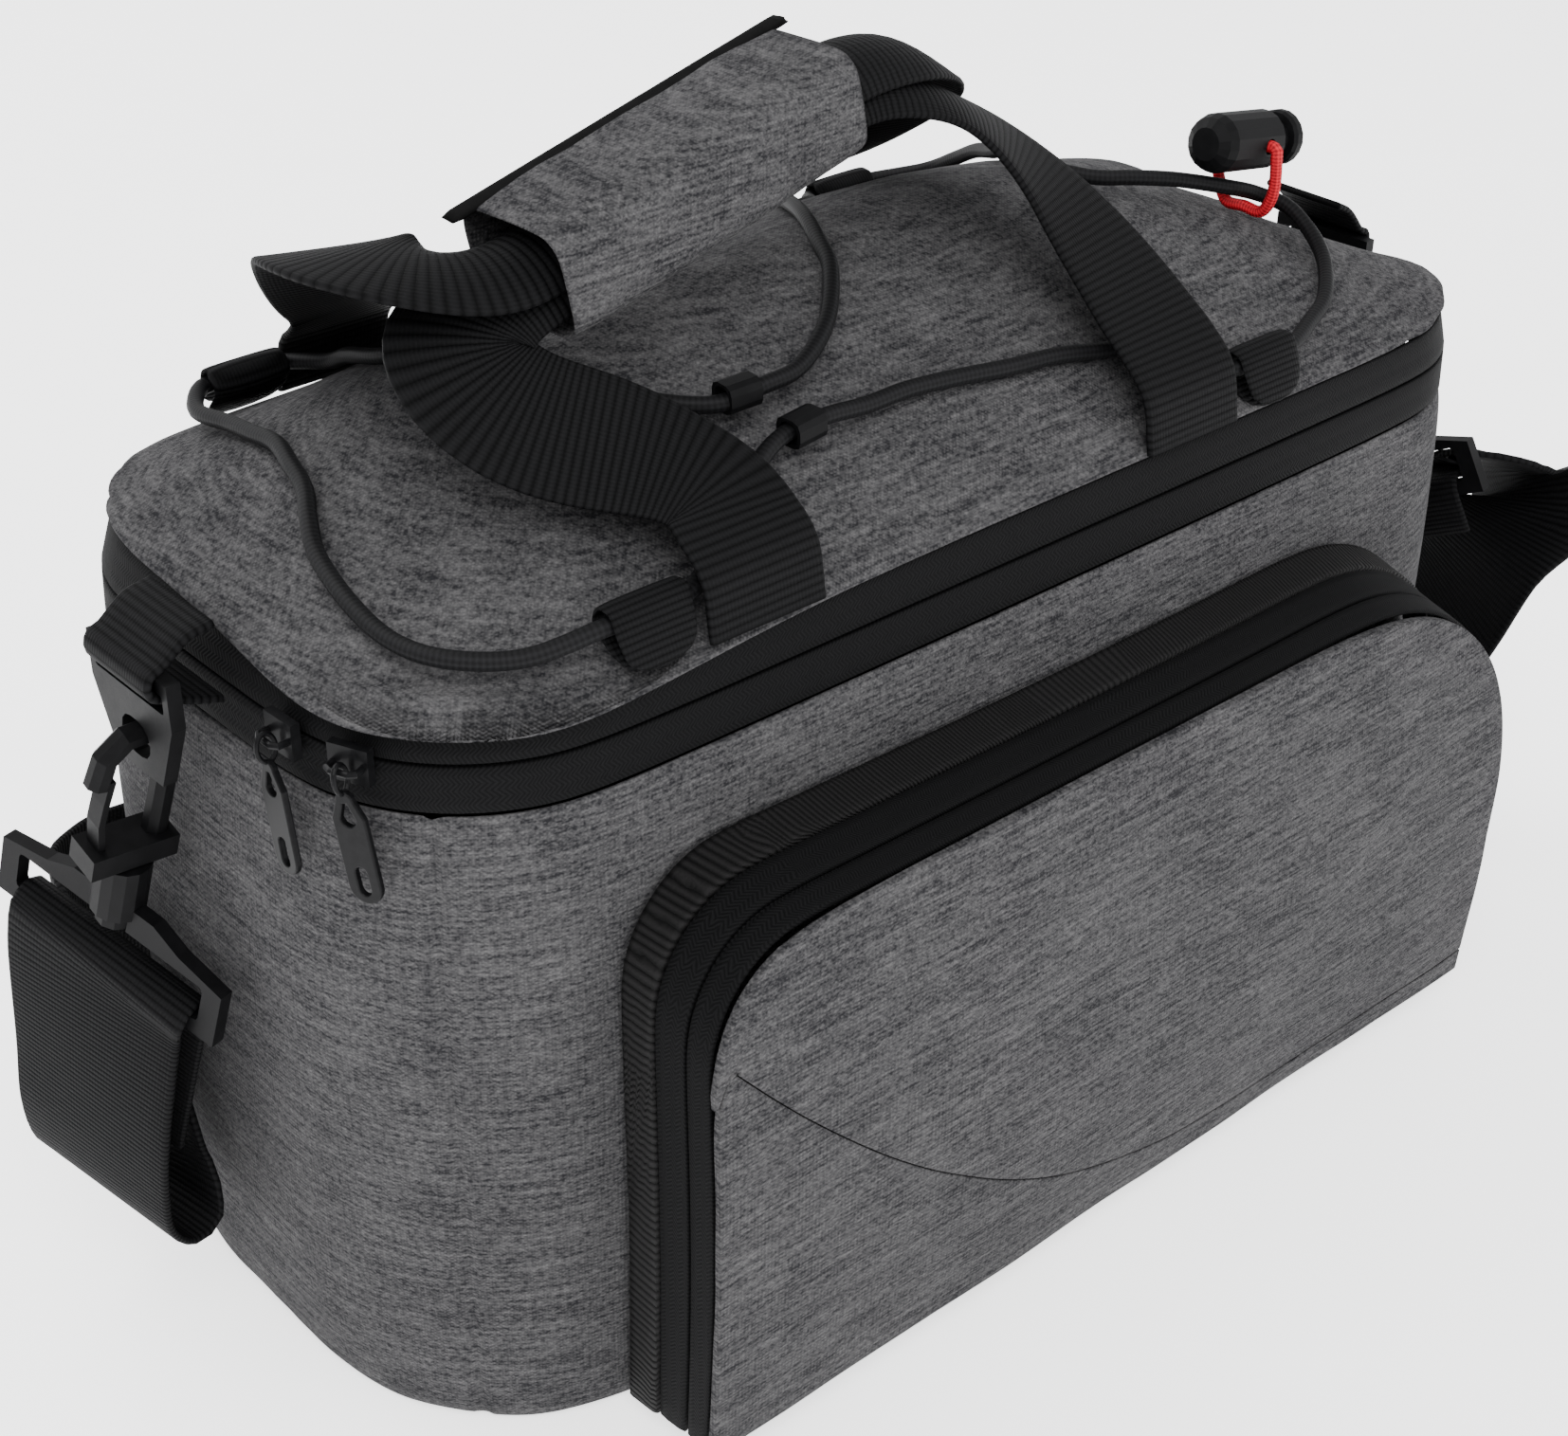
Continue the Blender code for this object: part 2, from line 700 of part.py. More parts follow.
def pocket_seam(x):
    """The height of the curved seam across the face."""
    share = (x - POCKET_LEFT) / (0.62 * (POCKET_RIGHT - POCKET_LEFT))
    fall = max(1 - share, 0.0) ** 2
    return POCKET_TOP * (POCKET_SEAM_LOW + (POCKET_SEAM_LEFT - POCKET_SEAM_LOW) * fall)


def face_place(x, z, behind=0.0):
    width = (x - POCKET_LEFT) / (POCKET_RIGHT - POCKET_LEFT)
    rise = (z - POCKET_FOOT) / (pocket_top(x, 1.0) - POCKET_FOOT)
    bulge = FACE_BULGE * math.sin(math.pi * min(max(width, 0), 1)) * math.sin(math.pi * min(max(rise, 0), 1))
    place = pocket_place(x, z, 1.0)
    return np.array((x, place[1] - GAP - bulge + behind, z))


def make_pocket():
    zip_from = RIB_SHARE + 0.015
    middle = RIB_SHARE + (1 - RIB_SHARE) / 2
    slot = ZIP_SLOT / POCKET_DEEP / 2
    pocket_band("pocket_ribbed_band", (0.0, RIB_SHARE / 2, RIB_SHARE), 2.2 * MM,
                material("black_ribbed_band", BLACK, 0.8))
    pocket_band("pocket_zip_rear_tape", (zip_from, middle - slot), TAPE, zip_tape_cloth(), 0.6 * MM)
    pocket_band("pocket_zip_front_tape", (middle + slot, 1 - (POCKET_WALL + GAP) / POCKET_DEEP), TAPE, zip_tape_cloth(), 0.6 * MM)
    half_coil = COIL_WIDTH / POCKET_DEEP / 2
    pocket_band("pocket_zip_coil", (middle - half_coil, middle + half_coil), COIL_DEEP, black_plastic(),
                0.6 * MM + TAPE + GAP)
    xs = []
    edge = 12
    span = POCKET_RIGHT - POCKET_LEFT
    for k in range(edge + 1):
        xs.append(POCKET_LEFT + span * (0.5 - 0.5 * math.cos(math.pi * k / edge)))
    lower_rows, upper_rows = 5, 5
    for name, rows in (("pocket_face_lower", lower_rows), ("pocket_face_upper", upper_rows)):
        outer, inner = [], []
        for j in range(rows + 1):
            share = j / rows
            line_out, line_in = [], []
            for x in xs:
                top = pocket_top(x, 1.0)
                seam = min(pocket_seam(x), top - 4 * MM)
                if name == "pocket_face_lower":
                    low, high = pocket_foot(1.0), seam - GAP / 2
                else:
                    low, high = seam + GAP / 2, top
                z = low + (high - low) * share
                line_out.append(face_place(x, z))
                line_in.append(face_place(x, z, POCKET_WALL))
            outer.append(line_out)
            inner.append(line_in)
        skin(name, outer, inner, grey_cloth())
    floor_outer, floor_inner = [], []
    for share in (0.03, 0.5, 1 - (POCKET_WALL + GAP) / POCKET_DEEP):
        line_out, line_in = [], []
        for x in np.linspace(POCKET_LEFT + 4.2 * MM, POCKET_RIGHT - 4.2 * MM, 15):
            p = pocket_place(x, pocket_foot(share), share)
            line_out.append(p)
            line_in.append(p + np.array((0, 0, POCKET_WALL)))
        floor_outer.append(line_out)
        floor_inner.append(line_in)
    skin("pocket_floor", floor_outer, floor_inner, grey_cloth())
    place = pocket_place(POCKET_RIGHT, POCKET_TOP * 0.22, middle)
    seat = Vector(place) + Vector((GAP + SLIDER_THICK / 2, 0, 0))
    slider = box("pocket_slider", (SLIDER_WIDE, SLIDER_LONG, SLIDER_THICK),
                 facing(seat, (1, 0, 0), (0, 0, 1)), black_metal())
    grip = box("pocket_grip", (PULL_WIDE, PULL_LONG * 0.7, PULL_THICK),
               facing(seat + Vector((PULL_THICK, 0, -PULL_LONG * 0.3)), (1, 0, 0), (0, 0, 1)), black_metal())
    combine(slider, grip, "UNION")


# Handle routes from each foot to the wrap: x and y in mm, height above the lid in mm, width direction
# and curl in degrees. Inside the wrap the webbing follows the wrap's own line.
FRONT_LEFT_LEG = (
    # x, y, above, width_x, width_y, width_z, curl
    (-87.5, -75.2, 13.0, 1.0, 0.0, 0.0, 0),
    (-87.5, -69.0, 13.5, 1.0, 0.0, 0.0, 0),
    (-88, -61.0, 12.5, 1.0, 0.05, 0.0, 0),
    (-94, -52.0, 12.5, 0.92, 0.25, 0.2, 0),
    (-103, -44.5, 14.0, 0.86, 0.15, 0.4, 0),
    (-112, -38.0, 16.0, 0.75, 0.2, 0.55, 0),
    (-118, -31.0, 20.5, 0.55, 0.5, 0.6, 0),
    (-119.5, -24, 25.5, 0.25, 0.85, 0.45, 15),
    (-116, -18.5, 29.5, 0.0, 0.98, 0.15, 75),
)
FRONT_RIGHT_LEG = (
    (-1, -14, 39.0, 0.0, 1.0, 0.0, 110),
    (9, -15, 36.5, 0.05, 1.0, 0.05, 70),
    (22, -20.5, 30.0, 0.25, 0.93, 0.2, 25),
    (32, -32, 21.5, 0.6, 0.75, 0.2, 0),
    (37, -47, 15.5, 0.93, 0.35, 0.1, 0),
    (39, -61, 13.0, 1.0, 0.05, 0.0, 0),
    (39.5, -69, 13.5, 1.0, 0.0, 0.0, 0),
    (39.5, -75.2, 13.0, 1.0, 0.0, 0.0, 0),
)
BACK_LEFT_LEG = (
    (-87.5, 75.2, 13.0, -1.0, 0.0, 0.0, 0),
    (-87.5, 70.0, 14.0, -1.0, 0.0, 0.0, 0),
    (-90, 62.0, 15.0, -1.0, 0.05, 0.0, 0),
    (-101, 49.0, 18.0, -0.95, 0.3, 0.0, 0),
    (-113, 34.0, 27.0, -0.9, 0.45, 0.0, 0),
    (-121, 21.0, 36.0, -0.85, 0.5, 0.0, 0),
    (-126, 8.0, 40.0, -0.7, 0.7, 0.0, 0),
    (-125, -4.0, 41.0, -0.4, 0.9, 0.0, 10),
    (-118, -11.5, 42.5, -0.1, 1.0, 0.0, 88),
)
BACK_RIGHT_LEG = (
    (0, -9.5, 44.0, 0.0, 1.0, 0.0, 110),
    (9, -8.0, 42.5, -0.05, 1.0, 0.0, 80),
    (22, 1.0, 33.0, -0.35, 0.93, 0.0, 30),
    (32, 14.0, 21.0, -0.75, 0.65, 0.0, 0),
    (38, 29.0, 13.0, -1.0, 0.2, 0.0, 0),
    (40, 46.0, 10.5, -1.0, 0.05, 0.0, 0),
    (40, 62.0, 12.5, -1.0, 0.0, 0.0, 0),
    (39.5, 70.0, 13.5, -1.0, 0.0, 0.0, 0),
    (39.5, 75.2, 13.0, -1.0, 0.0, 0.0, 0),
)
FOOT_OUT = 1.9 * MM
IN_WRAP = (
    # share along the wrap, curl in degrees
    (-0.56, 145), (-0.48, 155), (0.0, 155), (0.48, 155), (0.56, 145),
)


def foot_row(x, side, width_x):
    """The lower end of a handle's leg, sewn to the lid's edge."""
    return (x * MM, side * (body_size(LID_EDGE)[1] + FOOT_OUT), LID_EDGE + 1.6 * MM, width_x, 0.0, 0.0, 0.0)


def leg_rows(leg):
    return [(*on_lid(x * MM, y * MM, up * MM), *rest) for x, y, up, *rest in leg]


def handle_rows(left_leg, right_leg, side, rise):
    middle, along, across, up = wrap_frame()
    width_x = -float(side)
    rows = [foot_row(left_leg[0][0], side, width_x)] + leg_rows(left_leg)
    for share, curl in IN_WRAP:
        rows.append((*(middle + along * WRAP_LENGTH * share + up * rise), *across, curl))
    return rows + leg_rows(right_leg) + [foot_row(right_leg[-1][0], side, width_x)]


def make_handles():
    look = black_webbing()
    front = handle_rows(FRONT_LEFT_LEG, FRONT_RIGHT_LEG, -1, 1.2 * MM)
    back = handle_rows(BACK_LEFT_LEG, BACK_RIGHT_LEG, 1, 6.6 * MM)
    ribbon("front_handle", front, HANDLE_WIDTH, WEBBING, 11 * MM, look, 2)
    ribbon("back_handle", back, HANDLE_WIDTH, WEBBING, 11 * MM, look, 2)


def wrap_frame():
    heading, lift = math.radians(WRAP_HEADING), math.radians(WRAP_LIFT)
    along = Vector((math.cos(lift) * math.cos(heading), math.cos(lift) * math.sin(heading), math.sin(lift)))
    side = Vector((-math.sin(heading), math.cos(heading), 0))
    return Vector(WRAP_PLACE), along, side, along.cross(side)


def make_wrap():
    middle, along, side, up = wrap_frame()
    outer, inner = [], []
    for k in range(4):
        place = middle + along * WRAP_LENGTH * (k / 3 - 0.5)
        for rows, less in ((outer, 0.0), (inner, WRAP_WALL)):
            ring = rounded_box(WRAP_WIDE - 2 * less, WRAP_TALL - 2 * less, 7 * MM - less, 3)
            rows.append([np.array(place + side * a + up * b) for a, b in ring])
    skin("handle_wrap", outer, inner, grey_cloth(), ring=True)
    rows = []
    for k in range(3):
        place = middle + along * WRAP_LENGTH * (k / 2 - 0.5) * 1.02
        centre = place + side * (WRAP_WIDE / 2 - FLAP_WIDE / 2 + 1.5 * MM) + up * (WRAP_TALL / 2 + GAP
                                                                              + FLAP_THICK / 2)
        rows.append([np.array(centre + side * a + up * b) for a, b in
                     rounded_box(FLAP_WIDE, FLAP_THICK, 0.7 * MM, 1)])
    loft("wrap_flap", rows, material("black_hook_and_loop", BLACK, 0.95))


# Stops of the four cord loops: where on the lid's edge each stands, in mm
CORD_LOOPS = (
    # name, x, side
    ("cord_loop_front_left", -114.0, -1),
    ("cord_loop_front_right", 68.5, -1),
    ("cord_loop_back_left", -114.0, 1),
    ("cord_loop_back_right", 68.5, 1),
)
LOOP_RISE = 11 * MM
LOOP_IN = 4.2 * MM
LOOP_STOPS = (-11.0, -3.6, 3.6, 11.0)
LOOP_OUT = 2.9 * MM
CORD_PITCH = 13 * MM
CLIP_LONG = 8 * MM


def loop_crown(x, side):
    """The middle of the fold that holds the top cord."""
    deep = body_size(LID_EDGE)[1]
    return np.array((x, side * (deep - LOOP_IN), LID_EDGE + LOOP_RISE))


def make_cord_loops():
    """Flat loops of webbing, sewn to the lid's edge, with the cord in the fold."""
    deep = body_size(LID_EDGE)[1]
    inner = BUNGEE / 2 + 0.7 * MM
    for name, x, side in CORD_LOOPS:
        crown = loop_crown(x * MM, side)
        foot = np.array((x * MM, side * (deep + LOOP_OUT), LID_EDGE + 1.0 * MM))
        lean = unit(crown - foot)
        out = unit(np.cross((1.0, 0.0, 0.0), lean)) * -side
        far, near = [], []
        for k in range(8):
            angle = math.pi * k / 7
            way = out * math.cos(angle) + lean * math.sin(angle)
            far.append(crown + way * (inner + WEBBING))
            near.append(crown + way * inner)
        sides = [foot + out * 2.1 * MM, foot - out * 2.1 * MM]
        inside = [foot + out * 0.3 * MM, foot - out * 0.3 * MM]
        path = [sides[0]] + far + [sides[1], inside[1]] + near[::-1] + [inside[0]]
        rings = [[p + np.array((across, 0.0, 0.0)) for p in path] for across in (-LOOP_WIDTH / 2, LOOP_WIDTH / 2)]
        loft(name, rings, black_webbing())


# The top cord's route from the front left loop: x and y on the lid and height above it, all in mm.
# A name instead of a place stands for the straight stretch through that loop.
BUNGEE_ROUTE = (
    "cord_loop_front_left",
    (-139, -67, 4.2), (-150, -58, 3.0), (-154.5, -46, 2.8), (-154.5, -32, 2.8),
    (-151, -16, 2.8), (-142.5, 2, 2.8), (-136, 22, 2.8), (-134, 44, 3.0), (-133, 60, 5.0),
    "cord_loop_back_left",
    (-99, 60, 3.6), (-103, 34, 2.8),
    (-100, 12, 2.8), (-91, -14, 2.8), (-80, -33, 3.0), (-70, -40.6, 4.6), (-58, -41.5, 4.6),
    (-46, -40.0, 3.2), (-32, -33, 2.8), (-20, -21, 2.8), (-9, -1, 2.8), (6, 24, 2.8), (24, 45, 2.8),
    (42, 60, 3.0), (51, 64, 3.2),
    "cord_loop_back_right",
    (89, 60, 3.6), (83, 36, 2.8),
    (69, 12, 2.8), (60, -2, 2.8), (70, -14, 3.6), (91, -24, 5.2), (105, -27.5, 5.6), (116, -29.5, 5.8),
    (119.5, -38, 5.0), (116, -51, 3.4), (103, -63, 4.0),
    "cord_loop_front_right",
    (51, -64.5, 3.2), (42, -60.5, 3.0),
    (16, -56.5, 2.8), (-12, -53, 2.8), (-38, -51.5, 3.2), (-50, -51.8, 4.6), (-62, -52.4, 4.6),
    (-74, -56, 3.4), (-88, -63.5, 3.2),
)
CLIPS = (
    # name, x, y
    ("cord_clip_back", -64.0, -41.0),
    ("cord_clip_front", -56.0, -52.1),
)


def bungee_points():
    crowns = {name: (x, side) for name, x, side in CORD_LOOPS}
    line = []
    for row in BUNGEE_ROUTE:
        if row in crowns:
            x, side = crowns[row]
            line += [loop_crown((x - side * stop) * MM, side) for stop in LOOP_STOPS[::-1]]
        else:
            line.append(on_lid(row[0] * MM, row[1] * MM, row[2] * MM))
    doubled = line[-2:] + line + line[:3]
    dense = smooth_through(doubled, CORD_PITCH)
    starts = [int(np.argmin(np.linalg.norm(dense - place, axis=1))) for place in (line[0],)]
    first = starts[0]
    gone = np.linalg.norm(dense[first + 3:] - line[0], axis=1)
    return dense[first:first + 3 + int(np.argmin(gone))]


def make_bungee():
    tube("top_cord", [tuple(p) for p in bungee_points()], BUNGEE, material("black_elastic_cord", BLACK, 0.6),
         closed=True)


def make_clips():
    line = bungee_points()
    for name, x, y in CLIPS:
        middles = (line + np.roll(line, -1, axis=0)) / 2
        k = int(np.argmin(np.hypot(middles[:, 0] - x * MM, middles[:, 1] - y * MM)))
        along = Vector(line[(k + 1) % len(line)] - line[k]).normalized()
        side = Vector((0, 0, 1)).cross(along).normalized()
        place = facing(middles[k], along, along.cross(side))
        ring = [rounded_box(BUNGEE + 3.2 * MM, BUNGEE + 2.6 * MM, 2 * MM, 2),
                rounded_box(BUNGEE + 1.2 * MM, BUNGEE + 1.2 * MM, BUNGEE / 2, 3)]
        outline_plate(name, ring, CLIP_LONG, place, black_plastic())


def lock_frame():
    dip = math.radians(LOCK_DIP)
    axis = Vector((math.cos(dip), 0.05, -math.sin(dip))).normalized()
    side = Vector((0, 0, 1)).cross(axis).normalized()
    up = axis.cross(side).normalized()
    return Vector(LOCK_PLACE), axis, side, up


def make_cord_lock():
    """A barrel with a sprung button; the red cord goes through the hole across both."""
    middle, axis, side, up = lock_frame()
    place = facing(middle, axis, up)
    look = black_plastic()
    radius = LOCK_WIDE / 2
    profile = [(0.0, -LOCK_LONG / 2), (radius * 0.55, -LOCK_LONG / 2), (radius * 0.88, -LOCK_LONG / 2 + 1.6 * MM),
               (radius, -LOCK_LONG / 2 + 4 * MM), (radius, LOCK_LONG / 2 - 0.8 * MM),
               (radius - 0.8 * MM, LOCK_LONG / 2), (LOCK_BORE / 2, LOCK_LONG / 2),
               (LOCK_BORE / 2, -LOCK_LONG / 2 + 3 * MM), (0.0, -LOCK_LONG / 2 + 3 * MM)]
    barrel = turned("cord_lock_barrel", profile, place, look)
    hole_at = 5.5 * MM
    hole = cylinder("lock_hole", (RED_CORD + 1.6 * MM) / 2, LOCK_WIDE * 2,
                    facing(middle + axis * hole_at, side, axis), look, 12)
    combine(barrel, hole, "DIFFERENCE")
    stem = LOCK_BORE / 2 - 0.4 * MM
    reach = LOCK_LONG / 2 + LOCK_TRAVEL + 0.5 * MM
    bottom = -LOCK_LONG / 2 + 3 * MM + LOCK_TRAVEL + 1.0 * MM
    profile = [(0.0, bottom), (stem, bottom), (stem, reach), (radius * 0.86, reach),
               (radius * 0.94, reach + 1 * MM), (radius * 0.94, reach + 3 * MM),
               (radius * 0.8, reach + 4.2 * MM), (0.0, reach + 4.6 * MM)]
    button = turned("cord_lock_button", profile, place, look)
    slot_long = RED_CORD + 1.4 * MM + LOCK_TRAVEL
    slot = box("lock_slot", (RED_CORD + 1.8 * MM, slot_long, LOCK_WIDE * 2),
               facing(middle + axis * (hole_at + LOCK_TRAVEL / 2), side, axis), look)
    combine(button, slot, "DIFFERENCE")
    return hole_at


def turned(name, profile, place, look, sides=18):
    """A round solid from a profile of (radius, height) about the local Z of place."""
    rings = []
    for radius, height in profile[1:-1]:
        rings.append([np.array(place @ Vector((radius * math.cos(2 * math.pi * k / sides),
                                               radius * math.sin(2 * math.pi * k / sides), height)))
                      for k in range(sides)])
    return loft(name, rings, look)


def make_red_loop(hole_at):
    """The red cord: through the lock's hole and round the top cord below it."""
    middle, axis, side, up = lock_frame()
    eye = middle + axis * hole_at
    line = bungee_points()
    fine = np.vstack([a + (b - a) * k / 20 for a, b in zip(line, np.roll(line, -1, axis=0)) for k in range(20)])
    near = Vector(fine[int(np.argmin(np.hypot(fine[:, 0] - eye.x, fine[:, 1] - eye.y)))])
    half = LOCK_WIDE / 2 + RED_CORD / 2 + 0.8 * MM
    under = near - Vector((0, 0, BUNGEE / 2 + RED_CORD / 2 + 0.6 * MM))
    level = Vector((side.x, side.y, 0)).normalized()
    points = [eye, eye + side * (half - 1.0 * MM), eye + side * half - up * 2.2 * MM,
              near + level * half * 0.9 + Vector((0, 0, 2 * MM)), under + level * half * 0.6, under,
              under - level * half * 0.6, near - level * half * 0.9 + Vector((0, 0, 2 * MM)),
              eye - side * half - up * 2.2 * MM, eye - side * (half - 1.0 * MM)]
    tube("red_cord_loop", [tuple(p) for p in points], RED_CORD, material("red_cord", (0.55, 0.01, 0.02), 0.7),
         closed=True)


def make_tab(label, edge, bar, out):
    """Webbing from the lid's edge over the plate's bar and back to the band."""
    turn_at = math.hypot(PLATE_BAR, PLATE_THICK) / 2 + GAP + WEBBING / 2
    start = Vector((edge + out * 1.5 * MM, HANG_SIDE, LID_EDGE + 5 * MM))
    end = Vector((edge + out * 1.5 * MM, HANG_SIDE, LID_EDGE - 12 * MM))
    route = [start, (start + bar) / 2 + Vector((0, 0, 3.4 * MM))]
    for angle in (0, 45, 90, 135, 180):
        turned_by = math.radians(angle)
        route.append(bar + Vector((out * math.sin(turned_by), 0, math.cos(turned_by))) * turn_at)
    route += [(end + bar) / 2 + Vector((0, 0, -2.0 * MM)), end]
    ribbon("%s_end_tab" % label, [(*p, 0.0, 1.0, 0.0, 0.0) for p in route], TAB_WIDTH, WEBBING, 6 * MM,
           black_webbing())


def make_plate(label, bar, out):
    """The ring plate: a bar for the tab, a slot below it and a round hole for the hook."""
    middle = bar + Vector((0, 0, PLATE_BAR / 2 - PLATE_TALL / 2))
    top = PLATE_TALL / 2
    half = PLATE_WIDE / 2
    edge_line = [(-half, top), (-half, top * 0.2), (-half * 0.56, -top), (half * 0.56, -top), (half, top * 0.2),
                 (half, top)]
    slot_tall = 4.4 * MM
    slot = rounded_box(TAB_WIDTH + 1.6 * MM, slot_tall, 0.8 * MM, 2, (0, top - PLATE_BAR - slot_tall / 2))
    hole_at = -PLATE_TALL * 0.2
    hole = rounded_box(11 * MM, 8.6 * MM, 4.2 * MM, 3, (0, hole_at))
    outline_plate("%s_ring_plate" % label, [edge_line, slot, hole], PLATE_THICK,
                  facing(middle, (out, 0, 0), (0, 0, 1)), black_plastic())
    return middle + Vector((0, 0, hole_at))


# The hook's thick arm in mm from the plate's hole, from its foot over the hole to its tip
HOOK_ARM = (
    # outward, up
    (-6.0, -31), (-6.4, -20), (-6.6, -9), (-5.4, -2.6), (-1.4, 0.6), (4.2, 0.2), (8.2, -4.0), (9.2, -10.5),
)
HOOK_GATE = (
    # outward, up
    (7.0, -31), (8.2, -21), (7.0, -9.0),
)


def make_hook(label, hang):
    """The snap hook with its foot, its thin gate and the post that the strap frame turns on."""
    look = black_plastic()
    arm = smooth_through([tuple(hang @ Vector((x * MM, 0, z * MM))) for x, z in HOOK_ARM], 8 * MM)
    hook = as_mesh(tube("%s_snap_hook" % label, [tuple(p) for p in arm], HOOK_WIRE, look))
    foot = box("%s_hook_foot" % label, (20 * MM, 9 * MM, 5.6 * MM),
               hang @ Matrix.Translation((0.4 * MM, 0, -HOOK_TALL + 2 * MM)), look)
    combine(hook, foot, "UNION")
    side = hang.to_3x3() @ Vector((0, 1, 0))
    gate_line = [(*(hang @ Vector((x * MM, 0, z * MM))), *side, 0.0) for x, z in HOOK_GATE]
    combine(hook, ribbon("%s_hook_gate" % label, gate_line, 4.6 * MM, 1.5 * MM, 8 * MM, look), "UNION")
    post_long = BARREL_TALL + 5 * MM
    post = cylinder("%s_hook_post" % label, POST_WIDE / 2, post_long,
                    hang @ Matrix.Translation((0, 0, -HOOK_TALL - post_long / 2 + MM)), look, 10)
    combine(hook, post, "UNION")
    head = cylinder("%s_hook_head" % label, HEAD_WIDE / 2, 2.4 * MM,
                    hang @ Matrix.Translation((0, 0, -HOOK_TALL - post_long + MM)), look, 10)
    combine(hook, head, "UNION")


def make_frame(label, hang, turn):
    """The strap frame: a barrel on the hook's post over a wide slot for the strap."""
    look = black_plastic()
    barrel_mid = -HOOK_TALL - 1.2 * MM - GAP - BARREL_TALL / 2
    barrel = cylinder("%s_strap_frame" % label, BARREL_WIDE / 2, BARREL_TALL,
                      hang @ Matrix.Translation((0, 0, barrel_mid)), look, 14)
    frame_mid = barrel_mid - 4 * MM - FRAME_TALL / 2
    place = hang @ Matrix.Translation((0, 0, frame_mid)) @ Matrix.Rotation(math.radians(turn), 4, "Z")
    place = place @ facing((0, 0, 0), (1, 0, 0), (0, 0, 1))
    half, top = FRAME_WIDE / 2, FRAME_TALL / 2
    outer = [(-half, -top), (half, -top), (half, top * 0.44), (half * 0.6, top * 0.68), (half * 0.36, top),
             (-half * 0.36, top), (-half * 0.6, top * 0.68), (-half, top * 0.44)]
    slot_tall = FRAME_TALL - 2 * FRAME_BAR - 3 * MM
    slot = rounded_box(STRAP_WIDTH + 3 * MM, slot_tall, 1.2 * MM, 2, (0, -top + FRAME_BAR + slot_tall / 2))
    combine(barrel, outline_plate("%s_frame_plate" % label, [outer, slot], FRAME_THICK, place, look), "UNION")
    bore = cylinder("%s_frame_bore" % label, POST_WIDE / 2 + GAP, BARREL_TALL + 20 * MM,
                    hang @ Matrix.Translation((0, 0, barrel_mid)), look, 12)
    combine(barrel, bore, "DIFFERENCE")
    room = cylinder("%s_frame_room" % label, HEAD_WIDE / 2 + GAP, 3.8 * MM,
                    hang @ Matrix.Translation((0, 0, -HOOK_TALL - BARREL_TALL - 4 * MM)), look, 14)
    combine(barrel, room, "DIFFERENCE")
    return place @ Matrix.Translation((0, -top + FRAME_BAR / 2, 0))


def make_end_hardware(label, out, lean, turn):
    """Tab, plate, hook and frame at an end; out is -1 at the left. lean is the hook's way down."""
    edge = wall_place(3.5 if out < 0 else 7.5, TUB_HEIGHT)[0]
    drop = hinge_drop(edge) * 0.5
    bar = Vector((edge + out * HANG_OUT, HANG_SIDE, LID_EDGE - 4 * MM - drop))
    make_tab(label, edge, bar, out)
    hole = make_plate(label, bar, out)
    up = -Vector(lean).normalized()
    outward = Vector((out, 0, 0))
    outward = (outward - up * outward.dot(up)).normalized()
    hang = Matrix.Translation(hole) @ Matrix((outward, up.cross(outward), up)).transposed().to_4x4()
    make_hook(label, hang)
    return make_frame(label, hang, turn)


def bar_loop(place, inner_tail, outer_tail=None):
    """Rows of the strap over a frame's bar, from its inner side to its outer side."""
    turn_at = math.hypot(FRAME_BAR, FRAME_THICK) / 2 + GAP + WEBBING / 2
    line = [(-turn_at, -inner_tail), (-turn_at, 0.0)]
    line += [(-turn_at * 0.7, turn_at * 0.7), (0.0, turn_at), (turn_at * 0.7, turn_at * 0.7)]
    if outer_tail:
        line += [(turn_at, 0.0), (turn_at, -outer_tail)]
    else:
        line += [(FRAME_THICK + 3 * MM, turn_at * 0.7 + MM), (FRAME_THICK + 10 * MM, turn_at + 2 * MM)]
    wide = place.to_3x3() @ Vector((1, 0, 0))
    return [(*(place @ Vector((0, up, out))), *wide, 0.0) for out, up in line]


